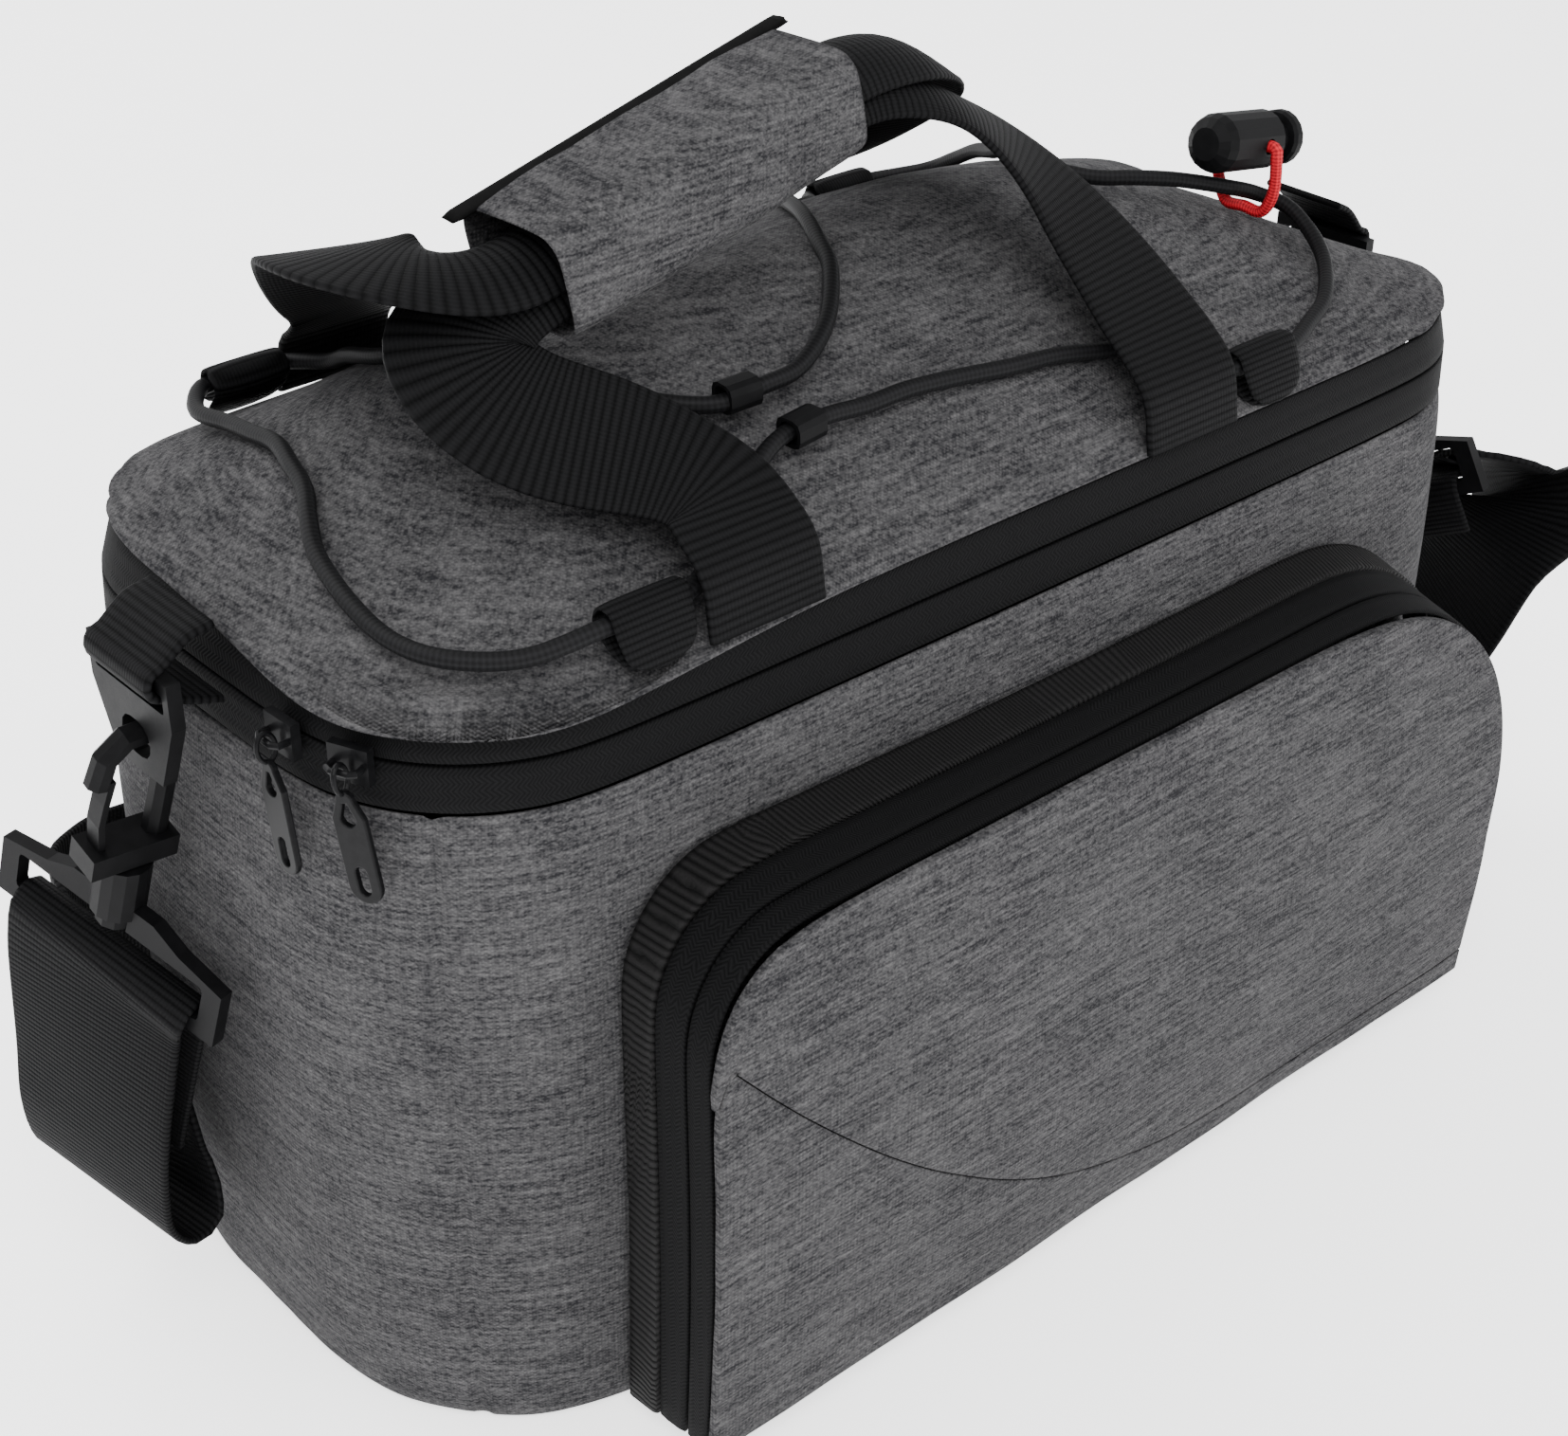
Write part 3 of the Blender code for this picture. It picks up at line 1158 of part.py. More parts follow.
# The strap's way from the left frame round the back to the right one, in mm. The stretches that
# are folded over the frames' bars follow the bars.
STRAP_ROUTE = (
    # x, y, z, width_x, width_y, width_z
    (-199.5, 21, 70, 0.20, -0.98, 0.0),
    (-200.5, 23, 52, 0.18, -0.98, 0.0),
    (-199.0, 24, 40, 0.14, -0.98, 0.0),
    (-193.0, 25, 33, 0.1, -0.99, 0.0),
    (-186.0, 26, 34, 0.05, -1.0, 0.0),
    (-183.0, 28, 42, 0.0, -1.0, 0.0),
    (-182.4, 37, 62, 0.0, -0.7, 0.7),
    (-182.4, 59, 71, 0.0, 0.0, 1.0),
    (-172, 79, 69, 0.0, 0.0, 1.0),
    (-144, 91.5, 62, 0.0, 0.0, 1.0),
    (-80, 95, 50, 0.0, 0.0, 1.0),
    (0, 96, 44, 0.0, 0.0, 1.0),
    (80, 95, 44, 0.0, 0.0, 1.0),
    (144, 91.5, 46, 0.0, 0.0, 1.0),
    (172, 79, 46, 0.0, 0.0, 1.0),
    (186, 50, 44, 0.0, 0.1, 1.0),
    (193, 16, 40, 0.0, 0.3, 0.95),
    (199, -14, 40, 0.1, 0.75, 0.65),
    (205, -34, 52, 0.25, 0.95, 0.25),
    (208, -45, 72, 0.35, 0.95, 0.0),
    (214, -50, 90, 0.35, 0.95, 0.0),
    (224, -52, 99, 0.3, 0.95, 0.1),
    (231, -49, 105, 0.3, 0.95, 0.0),
    (228, -44, 111, 0.2, 0.97, -0.15),
    (219, -38, 113, 0.0, 0.93, -0.35),
)


def make_strap(left_bar, right_bar):
    """One strap, folded over the bar of each frame."""
    rows = bar_loop(left_bar, 46 * MM, 8 * MM)
    rows += [tuple(v * MM for v in row[:3]) + row[3:] + (0.0,) for row in STRAP_ROUTE]
    rows += [row for row in reversed(bar_loop(right_bar, 12 * MM))]
    ribbon("shoulder_strap", rows, STRAP_WIDTH, WEBBING, 12 * MM, black_webbing())


bag, cutters = start_scene()
make_tub()
make_lid()
zip_line = make_main_zip()
make_slider(1, 2.97, zip_line)
make_slider(2, 2.73, zip_line)
make_pocket()
make_handles()
make_wrap()
make_cord_loops()
make_bungee()
make_clips()
make_red_loop(make_cord_lock())
left_bar = make_end_hardware("left", -1, LEFT_LEAN, 15)
right_bar = make_end_hardware("right", 1, RIGHT_LEAN, 6)
make_strap(left_bar, right_bar)
bpy.context.view_layer.update()
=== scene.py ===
# Looks of the bicycle rack bag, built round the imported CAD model. Lengths in the tables are in millimetres.
import json
import math

import bmesh
import bpy
from mathutils import Matrix, Vector, noise


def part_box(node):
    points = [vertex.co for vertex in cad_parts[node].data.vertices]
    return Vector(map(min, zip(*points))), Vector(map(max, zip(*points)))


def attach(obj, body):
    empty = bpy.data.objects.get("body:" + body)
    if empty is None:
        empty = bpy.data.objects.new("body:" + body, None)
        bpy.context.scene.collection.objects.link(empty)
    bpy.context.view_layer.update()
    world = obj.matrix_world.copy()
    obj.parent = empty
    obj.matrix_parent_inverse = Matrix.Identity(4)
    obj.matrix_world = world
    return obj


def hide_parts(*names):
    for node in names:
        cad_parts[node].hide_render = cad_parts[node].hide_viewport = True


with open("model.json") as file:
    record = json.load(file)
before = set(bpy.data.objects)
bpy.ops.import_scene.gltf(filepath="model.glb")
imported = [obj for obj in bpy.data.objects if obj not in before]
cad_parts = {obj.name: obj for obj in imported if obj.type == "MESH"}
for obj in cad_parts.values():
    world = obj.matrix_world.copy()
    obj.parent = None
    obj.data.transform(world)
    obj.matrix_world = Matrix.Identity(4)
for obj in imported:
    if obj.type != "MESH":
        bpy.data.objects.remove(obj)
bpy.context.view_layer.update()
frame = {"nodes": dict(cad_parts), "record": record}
nodes = frame["nodes"]
mm = 0.001
print("frame loaded:", len(nodes), "nodes")


# Camera, floor and light
view = {"place": (-380.6, -409.9, 441.7), "azimuth": -41.829, "elevation": 31.804, "roll": 0.465, "lens": 59.333,
        "sensor": 36.0}
studio = {"floorSize": 6.0, "floorColour": (0.95, 0.95, 0.955), "floorGlow": 1.5,
          "worldColour": (0.98, 0.985, 1.0), "worldPower": 1.35, "aim": (0, 0, 0.1),
          "key": {"place": (-0.9, -1.1, 1.7), "size": 1.3, "power": 40.0},
          "fill": {"place": (1.3, -1.4, 0.9), "size": 1.6, "power": 12.0},
          "rim": {"place": (-0.4, 1.3, 1.5), "size": 1.2, "power": 26.0}}


def aimed(back, roll=0.0):
    # A turn whose Z is back, with level sides, rolled about back
    right = Vector((-back.y, back.x, 0)).normalized()
    up = back.cross(right)
    a = math.radians(roll)
    across = right * math.cos(a) + up * math.sin(a)
    rise = up * math.cos(a) - right * math.sin(a)
    return Matrix((across, rise, back)).transposed().to_4x4()


az, el = math.radians(view["azimuth"]), math.radians(view["elevation"])
backward = Vector((math.sin(az) * math.cos(el), -math.cos(az) * math.cos(el), math.sin(el)))
cameraData = bpy.data.cameras.new("photoCamera")
cameraData.lens = view["lens"]
cameraData.sensor_width = view["sensor"]
camera = bpy.data.objects.new("photoCamera", cameraData)
bpy.context.collection.objects.link(camera)
camera.matrix_world = Matrix.Translation(Vector(view["place"]) * mm) @ aimed(backward, view["roll"])
bpy.context.scene.camera = camera

for name in ("key", "fill", "rim"):
    light = bpy.data.lights.new(name + "Light", "AREA")
    light.size = studio[name]["size"]
    light.energy = studio[name]["power"]
    lamp = bpy.data.objects.new(name + "Light", light)
    bpy.context.collection.objects.link(lamp)
    place = Vector(studio[name]["place"])
    lamp.matrix_world = Matrix.Translation(place) @ aimed((place - Vector(studio["aim"])).normalized())

world = bpy.data.worlds.new("studioWorld")
world.use_nodes = True
world.node_tree.nodes["Background"].inputs["Color"].default_value = (*studio["worldColour"], 1)
world.node_tree.nodes["Background"].inputs["Strength"].default_value = studio["worldPower"]
bpy.context.scene.world = world
print("camera and lights placed")


# Shader maths: a Wire is one value or colour link, and the operators on it add Math nodes
class Wire:
    def __init__(self, finish, socket):
        self.finish = finish
        self.socket = socket

    def maths(self, operation, *values):
        return self.finish.node("ShaderNodeMath", {"operation": operation}, dict(enumerate(values)))

    def __add__(self, other):
        return self.maths("ADD", self, other)

    def __sub__(self, other):
        return self.maths("SUBTRACT", self, other)

    def __mul__(self, other):
        return self.maths("MULTIPLY", self, other)

    def sine(self):
        return self.maths("SINE", self)

    def size(self):
        return self.maths("ABSOLUTE", self)

    def atMost(self, other):
        return self.maths("MINIMUM", self, other)

    def swing(self, width):
        return self.maths("PINGPONG", self, width)


class Finish:
    def __init__(self, name, roughness, coat=0.0, specular=0.5):
        self.material = bpy.data.materials.new(name)
        self.material.use_nodes = True
        self.tree = self.material.node_tree
        self.shader = self.tree.nodes["Principled BSDF"]
        self.shader.inputs["Roughness"].default_value = roughness
        self.shader.inputs["Coat Weight"].default_value = coat
        self.shader.inputs["Coat Roughness"].default_value = 0.12
        self.shader.inputs["Specular IOR Level"].default_value = specular

    def node(self, kind, settings=None, values=None, output=0):
        made = self.tree.nodes.new(kind)
        for key, value in (settings or {}).items():
            if key == "stops":
                ramp = made.color_ramp
                for k, (place, shade) in enumerate(value):
                    stop = ramp.elements[k] if k < 2 else ramp.elements.new(place)
                    stop.position = place
                    stop.color = (*shade, 1)
            else:
                setattr(made, key, value)
        for key, value in (values or {}).items():
            if isinstance(value, Wire):
                self.tree.links.new(value.socket, made.inputs[key])
            else:
                made.inputs[key].default_value = value
        return Wire(self, made.outputs[output])

    def feed(self, socket, wire):
        self.tree.links.new(wire.socket, self.shader.inputs[socket])

    def objectPlace(self, stretch=(1, 1, 1)):
        # Object coordinates in millimetres, each axis times its stretch
        place = self.node("ShaderNodeTexCoord", output="Object")
        scale = tuple(1000 * s for s in stretch)
        return self.node("ShaderNodeVectorMath", {"operation": "MULTIPLY"}, {0: place, 1: scale})

    def clothPlace(self):
        # The piece's own UV map, which is in millimetres
        return self.node("ShaderNodeUVMap", {"uv_map": "cloth"})

    def parts(self, vector):
        split = self.tree.nodes.new("ShaderNodeSeparateXYZ")
        self.tree.links.new(vector.socket, split.inputs[0])
        return [Wire(self, split.outputs[k]) for k in range(3)]

    def speckle(self, vector, scale, detail=3.0, rough=0.6):
        return self.node("ShaderNodeTexNoise", {}, {"Vector": vector, "Scale": scale, "Detail": detail,
                                                    "Roughness": rough})

    def ramp(self, value, stops):
        return self.node("ShaderNodeValToRGB", {"stops": stops}, {0: value})

    def bump(self, height, strength, distance):
        made = self.node("ShaderNodeBump", {}, {"Height": height, "Strength": strength, "Distance": distance * mm})
        self.feed("Normal", made)


def greyClothFinish(name, dark, light, pitch):
    # Melange plain weave: crossed threads, fine flecks and slubs that run with the weft
    finish = Finish(name, 0.93, specular=0.08)
    x, y, z = finish.parts(finish.objectPlace())
    turn = 2 * math.pi / pitch
    sx, sy, sz = (x * turn).sine(), (y * turn).sine(), (z * turn).sine()
    weave = sx * sz + sx * sy + sy * sz
    flecks = finish.speckle(finish.objectPlace((0.55, 0.55, 1.0)), 1.5, 2.0)
    slubs = finish.speckle(finish.objectPlace((0.07, 0.07, 1.0)), 1.1, 3.0)
    patches = finish.speckle(finish.objectPlace(), 0.035, 2.0)
    mix = flecks * 0.75 + slubs * 0.6 + patches * 0.15 + weave * 0.035 - 0.27
    finish.feed("Base Color", finish.ramp(mix, [(0.30, dark), (0.78, light)]))
    finish.bump(weave * 0.35 + flecks * 0.8, 0.55, 0.16)
    return finish.material


def ribbedWebbingFinish(name, dark, light, pitch):
    # Webbing: crosswise ribs along its length, with fine threads between them
    finish = Finish(name, 0.7, specular=0.06)
    u, v = finish.parts(finish.clothPlace())[:2]
    rib = (u * (math.pi / pitch)).sine().size()
    threads = (v * (2 * math.pi / 0.9)).sine()
    fuzz = finish.speckle(finish.objectPlace(), 1.8)
    shade = rib * 0.62 + threads * 0.08 + fuzz * 0.35
    finish.feed("Base Color", finish.ramp(shade, [(0.25, dark), (0.95, light)]))
    finish.bump(rib + threads * 0.12 + fuzz * 0.25, 0.8, 0.28)
    return finish.material


def zipTapeFinish(name, dark, light):
    # Herringbone tape
    finish = Finish(name, 0.8, specular=0.08)
    u, v = finish.parts(finish.clothPlace())[:2]
    slant = u + v.swing(1.6)
    bone = (slant * (2 * math.pi / 1.15)).sine()
    fuzz = finish.speckle(finish.objectPlace(), 2.0)
    shade = bone * 0.25 + fuzz * 0.5 + 0.25
    finish.feed("Base Color", finish.ramp(shade, [(0.2, dark), (0.9, light)]))
    finish.bump(bone * 0.5 + fuzz * 0.3, 0.6, 0.14)
    return finish.material


def zipCoilFinish(name, dark, light):
    # A reversed coil: two rows of tiny stitches beside a thin dark line
    finish = Finish(name, 0.6, specular=0.15)
    u, v = finish.parts(finish.clothPlace())[:2]
    stitch = (u * (math.pi / 1.25)).sine().size()
    groove = (v.size() * 2.2).atMost(1.0)
    shade = stitch * groove
    finish.feed("Base Color", finish.ramp(shade, [(0.1, dark), (1.0, light)]))
    finish.bump(stitch * 0.6 + groove, 0.9, 0.5)
    return finish.material


def ribbedBandFinish(name, dark, light, pitch):
    # Corded band: ridges that stand across the band
    finish = Finish(name, 0.72, specular=0.12)
    u = finish.parts(finish.clothPlace())[0]
    ridge = (u * (math.pi / pitch)).sine().size()
    fuzz = finish.speckle(finish.objectPlace(), 2.0)
    shade = ridge * 0.7 + fuzz * 0.35
    finish.feed("Base Color", finish.ramp(shade, [(0.3, dark), (1.0, light)]))
    finish.bump(ridge + fuzz * 0.2, 0.9, 0.6)
    return finish.material


def braidFinish(name, dark, light, pitch, around):
    # A braided sleeve: two sets of slanting strands
    finish = Finish(name, 0.6, specular=0.1)
    u, v = finish.parts(finish.clothPlace())[:2]
    one = ((u + v) * (2 * math.pi / pitch)).sine()
    two = ((u - v) * (2 * math.pi / pitch)).sine()
    strands = (one * two) * 0.5 + 0.5
    fuzz = finish.speckle(finish.objectPlace(), 3.0)
    finish.feed("Base Color", finish.ramp(strands * 0.7 + fuzz * 0.4, [(0.2, dark), (0.95, light)]))
    finish.bump(strands + fuzz * 0.3, 0.6, around)
    return finish.material


def mouldedFinish(name, colour, light, roughness):
    # Moulded plastic with a fine grain
    finish = Finish(name, roughness, specular=0.07)
    grain = finish.speckle(finish.objectPlace(), 2.4, 4.0)
    wear = finish.speckle(finish.objectPlace(), 0.25, 3.0)
    finish.feed("Base Color", finish.ramp(wear, [(0.35, colour), (0.75, light)]))
    finish.feed("Roughness", grain * 0.16 + wear * 0.14 + (roughness - 0.15))
    finish.bump(grain, 0.25, 0.05)
    return finish.material


def paintedMetalFinish(name, colour, roughness):
    # Black paint with faint smears
    finish = Finish(name, roughness, coat=0.04, specular=0.06)
    smear = finish.speckle(finish.objectPlace(), 0.6, 3.0)
    finish.feed("Base Color", finish.ramp(smear, [(0.3, colour), (0.8, tuple(3 * c for c in colour))]))
    finish.feed("Roughness", smear * 0.15 + roughness)
    finish.bump(smear, 0.1, 0.03)
    return finish.material


def floorFinish(name, colour, glow):
    # A pale floor that glows enough to stay near white
    finish = Finish(name, 0.75)
    finish.shader.inputs["Emission Color"].default_value = (1, 1, 1, 1)
    finish.shader.inputs["Emission Strength"].default_value = glow
    dust = finish.speckle(finish.objectPlace(), 0.02, 2.0)
    light = tuple(min(1.0, c * 1.03) for c in colour)
    finish.feed("Base Color", finish.ramp(dust, [(0.3, colour), (0.8, light)]))
    return finish.material


shades = {
    "cloth": ((0.012, 0.012, 0.0135), (0.088, 0.086, 0.087)),
    "webbing": ((0.0008, 0.0008, 0.0009), (0.0065, 0.0065, 0.007)),
    "strap": ((0.0008, 0.0008, 0.0009), (0.0055, 0.0055, 0.006)),
    "tape": ((0.0008, 0.0008, 0.0009), (0.0052, 0.0052, 0.0056)),
    "coil": ((0.0004, 0.0004, 0.0004), (0.0070, 0.0070, 0.0075)),
    "band": ((0.0004, 0.0004, 0.0004), (0.0085, 0.0080, 0.0082)),
    "cord": ((0.0015, 0.0015, 0.0017), (0.0080, 0.0080, 0.0088)),
    "red": ((0.16, 0.003, 0.006), (0.62, 0.018, 0.030)),
    "plastic": ((0.0022, 0.0022, 0.0024), (0.0042, 0.0042, 0.0046)),
    "hook": ((0.0010, 0.0010, 0.0010), (0.0035, 0.0035, 0.0035))}
finishes = {
    "cloth": greyClothFinish("greyMelangeWeave", *shades["cloth"], 0.95),
    "webbing": ribbedWebbingFinish("handleWebbing", *shades["webbing"], 1.9),
    "strap": ribbedWebbingFinish("shoulderWebbing", *shades["strap"], 1.3),
    "tape": zipTapeFinish("herringboneTape", *shades["tape"]),
    "coil": zipCoilFinish("reversedCoil", *shades["coil"]),
    "band": ribbedBandFinish("cordedBand", *shades["band"], 2.2),
    "cord": braidFinish("elasticCord", *shades["cord"], 2.4, 0.10),
    "red": braidFinish("redCord", *shades["red"], 1.6, 0.25),
    "plastic": mouldedFinish("mouldedAcetal", *shades["plastic"], 0.5),
    "hookPile": mouldedFinish("hookAndLoopPile", *shades["hook"], 0.95),
    "metal": paintedMetalFinish("glossBlackPaint", (0.002, 0.002, 0.0022), 0.3),
}
print("finishes made:", len(finishes))

floorMesh = bpy.data.meshes.new("studioFloor")
work = bmesh.new()
bmesh.ops.create_grid(work, x_segments=1, y_segments=1, size=studio["floorSize"] / 2)
work.to_mesh(floorMesh)
work.free()
floor = bpy.data.objects.new("studioFloor", floorMesh)
bpy.context.collection.objects.link(floor)
floorMesh.materials.append(floorFinish("paleFloor", studio["floorColour"], studio["floorGlow"]))


# Tools shared by the pieces. The folds are in degrees, and a curl below the least one, in radians, counts as flat.
tolerance = {"weld": 0.01, "cadWeld": 0.02, "quadFold": 25, "quadSkew": 60, "sharp": 50, "curl": 0.02}


def finished(name, work, finish, smooth=True):
    # Ends a bmesh as a piece at the origin
    mesh = bpy.data.meshes.new(name)
    work.to_mesh(mesh)
    work.free()
    piece = bpy.data.objects.new(name, mesh)
    bpy.context.collection.objects.link(piece)
    mesh.materials.append(finishes[finish])
    for face in mesh.polygons:
        face.use_smooth = smooth
    return piece


def throughRows(rows, pitch):
    # Rows on a Catmull-Rom curve through the given rows, about pitch apart and on every row
    data = [Vector(row) for row in rows]
    padded = [2 * data[0] - data[1]] + data + [2 * data[-1] - data[-2]]
    out = []
    for k in range(len(data) - 1):
        p0, p1, p2, p3 = padded[k:k + 4]
        parts = max(1, round((p2.to_3d() - p1.to_3d()).length / pitch))
        for j in range(parts):
            u = j / parts
            out.append(0.5 * (2 * p1 + (p2 - p0) * u + (2 * p0 - 5 * p1 + 4 * p2 - p3) * u ** 2
                              + (3 * p1 - p0 - 3 * p2 + p3) * u ** 3))
    out.append(data[-1])
    return out


def flatSection(width, thick, across):
    # Points round a strap's section, as (across, up), with rounded edges
    half, rise = width / 2 - thick / 2, thick / 2
    top = [(-half + 2 * half * k / across, rise) for k in range(across + 1)]
    end = [(half + rise * math.sin(math.radians(a)), rise * math.cos(math.radians(a))) for a in (45, 90, 135)]
    return top + end + [(-a, -b) for a, b in top] + [(-a, -b) for a, b in end]


def roundSection(diameter, sides):
    return [(diameter / 2 * math.cos(2 * math.pi * k / sides), diameter / 2 * math.sin(2 * math.pi * k / sides))
            for k in range(sides)]


def eased(line, passes, foot=34.0, reach=16.0):
    # Evens out the rows of a webbing, fully from foot plus reach on, and not at all within foot of its ends
    far = [0.0]
    for a, b in zip(line, line[1:]):
        far.append(far[-1] + (b.to_3d() - a.to_3d()).length)
    share = [min(max((min(f, far[-1] - f) - foot) / reach, 0.0), 1.0) for f in far]
    for step in range(passes):
        line = [line[0]] + [b.lerp((a + 2 * b + c) / 4, k)
                            for a, b, c, k in zip(line, line[1:], line[2:], share[1:])] + [line[-1]]
    return line


def swept(name, rows, section, pitch, finish, closed=False, passes=0):
    # A strap or cord: a grid whose rows lie round the section at each place along the path
    if closed:
        rows = rows + [rows[0]]
    line = eased(throughRows(rows, pitch), passes)
    count, sides = len(line), len(section)
    far = [0.0]
    for a, b in zip(line, line[1:]):
        far.append(far[-1] + (b.to_3d() - a.to_3d()).length)
    work = bmesh.new()
    bmesh.ops.create_grid(work, x_segments=count - 1, y_segments=sides, size=1.0)
    cloth = work.loops.layers.uv.new("cloth")
    spots = {}
    for vert in work.verts:
        spots[vert] = (round((vert.co.x + 1) / 2 * (count - 1)), round((vert.co.y + 1) / 2 * sides))
    for face in work.faces:
        for corner in face.loops:
            i, j = spots[corner.vert]
            corner[cloth].uv = (far[i], section[j % sides][0])
    frames = []
    for i, row in enumerate(line):
        before = line[i - 1] if i else (line[-2] if closed else line[0])
        after = line[i + 1] if i < count - 1 else (line[1] if closed else line[-1])
        ahead = (after.to_3d() - before.to_3d()).normalized()
        side = Vector(row[3:6])
        side = (side - ahead * ahead.dot(side)).normalized()
        frames.append((row.to_3d(), side, ahead.cross(side), math.radians(row[6])))
    for vert, (i, j) in spots.items():
        place, side, up, curl = frames[i]
        a, b = section[j % sides]
        width = max(abs(p[0]) for p in section) * 2
        if abs(curl) > tolerance["curl"]:
            radius = width / curl
            angle = curl * a / width
            wide, tall = (radius + b) * math.sin(angle), (radius + b) * math.cos(angle) - radius
            vert.co = place + side * wide + up * tall
        else:
            vert.co = place + side * a + up * b
        vert.co *= mm
    bmesh.ops.remove_doubles(work, verts=work.verts, dist=tolerance["weld"] * mm)
    if not closed:
        rims = [edge for edge in work.edges if edge.is_boundary]
        bmesh.ops.holes_fill(work, edges=rims, sides=0)
    bmesh.ops.recalc_face_normals(work, faces=work.faces)
    return finished(name, work, finish)


def copied(node):
    # A welded copy of a CAD node with its quads back
    work = bmesh.new()
    work.from_mesh(nodes[node].data)
    bmesh.ops.remove_doubles(work, verts=work.verts, dist=tolerance["cadWeld"] * mm)
    bmesh.ops.join_triangles(work, faces=work.faces, angle_face_threshold=math.radians(tolerance["quadFold"]),
                             angle_shape_threshold=math.radians(tolerance["quadSkew"]))
    return work


def creased(work, amount):
    # Holds the sharp edges of a strip, so that the subdivision keeps its full width
    crease = work.edges.layers.float.new("crease_edge")
    for edge in work.edges:
        if len(edge.link_faces) == 2 and edge.calc_face_angle() > math.radians(tolerance["sharp"]):
            edge[crease] = amount
    return work


def divided(name, node, levels, finish, crease=0.0):
    # A finer smooth copy of a CAD node as a piece
    piece = finished(name, creased(copied(node), crease), finish)
    finer = piece.modifiers.new("finer", "SUBSURF")
    finer.levels = levels
    finer.render_levels = levels
    depsgraph = bpy.context.evaluated_depsgraph_get()
    mesh = bpy.data.meshes.new_from_object(piece.evaluated_get(depsgraph))
    piece.modifiers.clear()
    old = piece.data
    piece.data = mesh
    bpy.data.meshes.remove(old)
    return piece


def moved(piece, shift):
    # Moves each vertex by shift(place, normal), all in metres
    mesh = piece.data
    normals = [v.normal.copy() for v in mesh.vertices]
    for vert, normal in zip(mesh.vertices, normals):
        vert.co += shift(vert.co.copy(), normal)
    mesh.update()


def outlineMap(piece, middle, flat, forward, heightOf):
    # UV in millimetres: u along the outline round middle in the flat plane, v from heightOf.
    # forward points away from where the outline is open.
    mesh = piece.data
    turns = {}
    a, b = flat

    def turnOf(co):
        x, y = co[a] - middle[0], co[b] - middle[1]
        return math.atan2(forward[0] * y - forward[1] * x, forward[0] * x + forward[1] * y)

    for vert in mesh.vertices:
        x, y = vert.co[a] - middle[0], vert.co[b] - middle[1]
        key = round(turnOf(vert.co), 2)
        if key not in turns or math.hypot(x, y) > turns[key][0]:
            turns[key] = (math.hypot(x, y), x, y)
    order = sorted(turns)
    far, total, last = [], 0.0, None
    for key in order:
        spot = turns[key][1:]
        if last:
            total += math.hypot(spot[0] - last[0], spot[1] - last[1])
        far.append(total)
        last = spot
    layer = mesh.uv_layers.new(name="cloth")
    for corner in mesh.loops:
        co = mesh.vertices[corner.vertex_index].co
        angle = turnOf(co)
        low, high = 0, len(order) - 1
        while high - low > 1:
            half = (low + high) // 2
            if order[half] <= angle:
                low = half
            else:
                high = half
        span = max(order[high] - order[low], 1e-6)
        share = min(max((angle - order[low]) / span, 0.0), 1.0)
        u = far[low] + (far[high] - far[low]) * share
        layer.data[corner.index].uv = (u / mm, heightOf(co) / mm)


def ripple(place, size, seed):
    return noise.noise(Vector((place.x + seed, place.y, place.z)) / size)


def hill(distance, reach):
    return math.exp(-(distance / reach) ** 2)


def settled(piece, slotName, *replaced, body="root"):
    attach(piece, body)
    if replaced:
        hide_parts(*replaced)
    return piece


def beyond(axis, level):
    # How far a place lies beyond level along an axis
    return lambda co: co[axis] - level


def lineOf(rows, pitch):
    # A cord's centreline in metres
    return [row.to_3d() * mm for row in throughRows(rows, pitch)]


def lengthOf(line):
    return sum((b - a).length for a, b in zip(line, line[1:]))


# The elastic cord over the lid and the red loop on its lock
topCordRows = [
    (-116, -72, 199), (-118, -72, 199), (-125, -72, 199), (-139, -67, 196), (-150, -58, 196),
    (-154, -46, 196), (-154, -32, 198), (-151, -16, 201), (-147, -7, 204), (-142, 2, 206), (-139, 12, 207),
    (-136, 22, 207), (-135, 33, 205), (-134, 44, 203), (-133, 60, 200), (-125, 72, 199), (-118, 72, 199),
    (-110, 72, 199), (-103, 72, 199), (-99, 60, 202), (-101, 48, 208), (-103, 34, 213), (-102, 23, 217),
    (-100, 12, 220), (-96, -1, 222), (-91, -14, 223), (-86, -25, 221), (-80, -33, 219), (-70, -41, 218),
    (-58, -42, 219), (-46, -40, 219), (-32, -33, 223), (-20, -21, 228), (-15, -12, 230), (-9, -1, 231),
    (-2, 11, 229), (6, 24, 225), (15, 35, 220), (24, 45, 214), (34, 54, 209), (42, 60, 204), (51, 64, 202),
    (58, 72, 199), (65, 72, 199), (72, 72, 199), (80, 72, 199), (89, 60, 203), (88, 49, 209), (83, 36, 216),
    (76, 23, 221), (69, 12, 226), (60, -2, 229), (70, -14, 226), (80, -20, 225), (91, -24, 223), (105, -28, 219),
    (116, -30, 215), (120, -38, 212), (116, -51, 206), (103, -63, 202), (91, -68, 200), (80, -72, 199),
    (72, -72, 199), (65, -72, 199), (58, -72, 199), (51, -64, 202), (42, -60, 206), (30, -58, 207), (16, -56, 209),
    (2, -55, 210), (-12, -53, 211), (-26, -52, 212), (-38, -52, 212), (-50, -52, 213), (-62, -52, 212),
    (-74, -56, 208), (-88, -64, 202), (-103, -72, 199), (-107, -72, 199)]

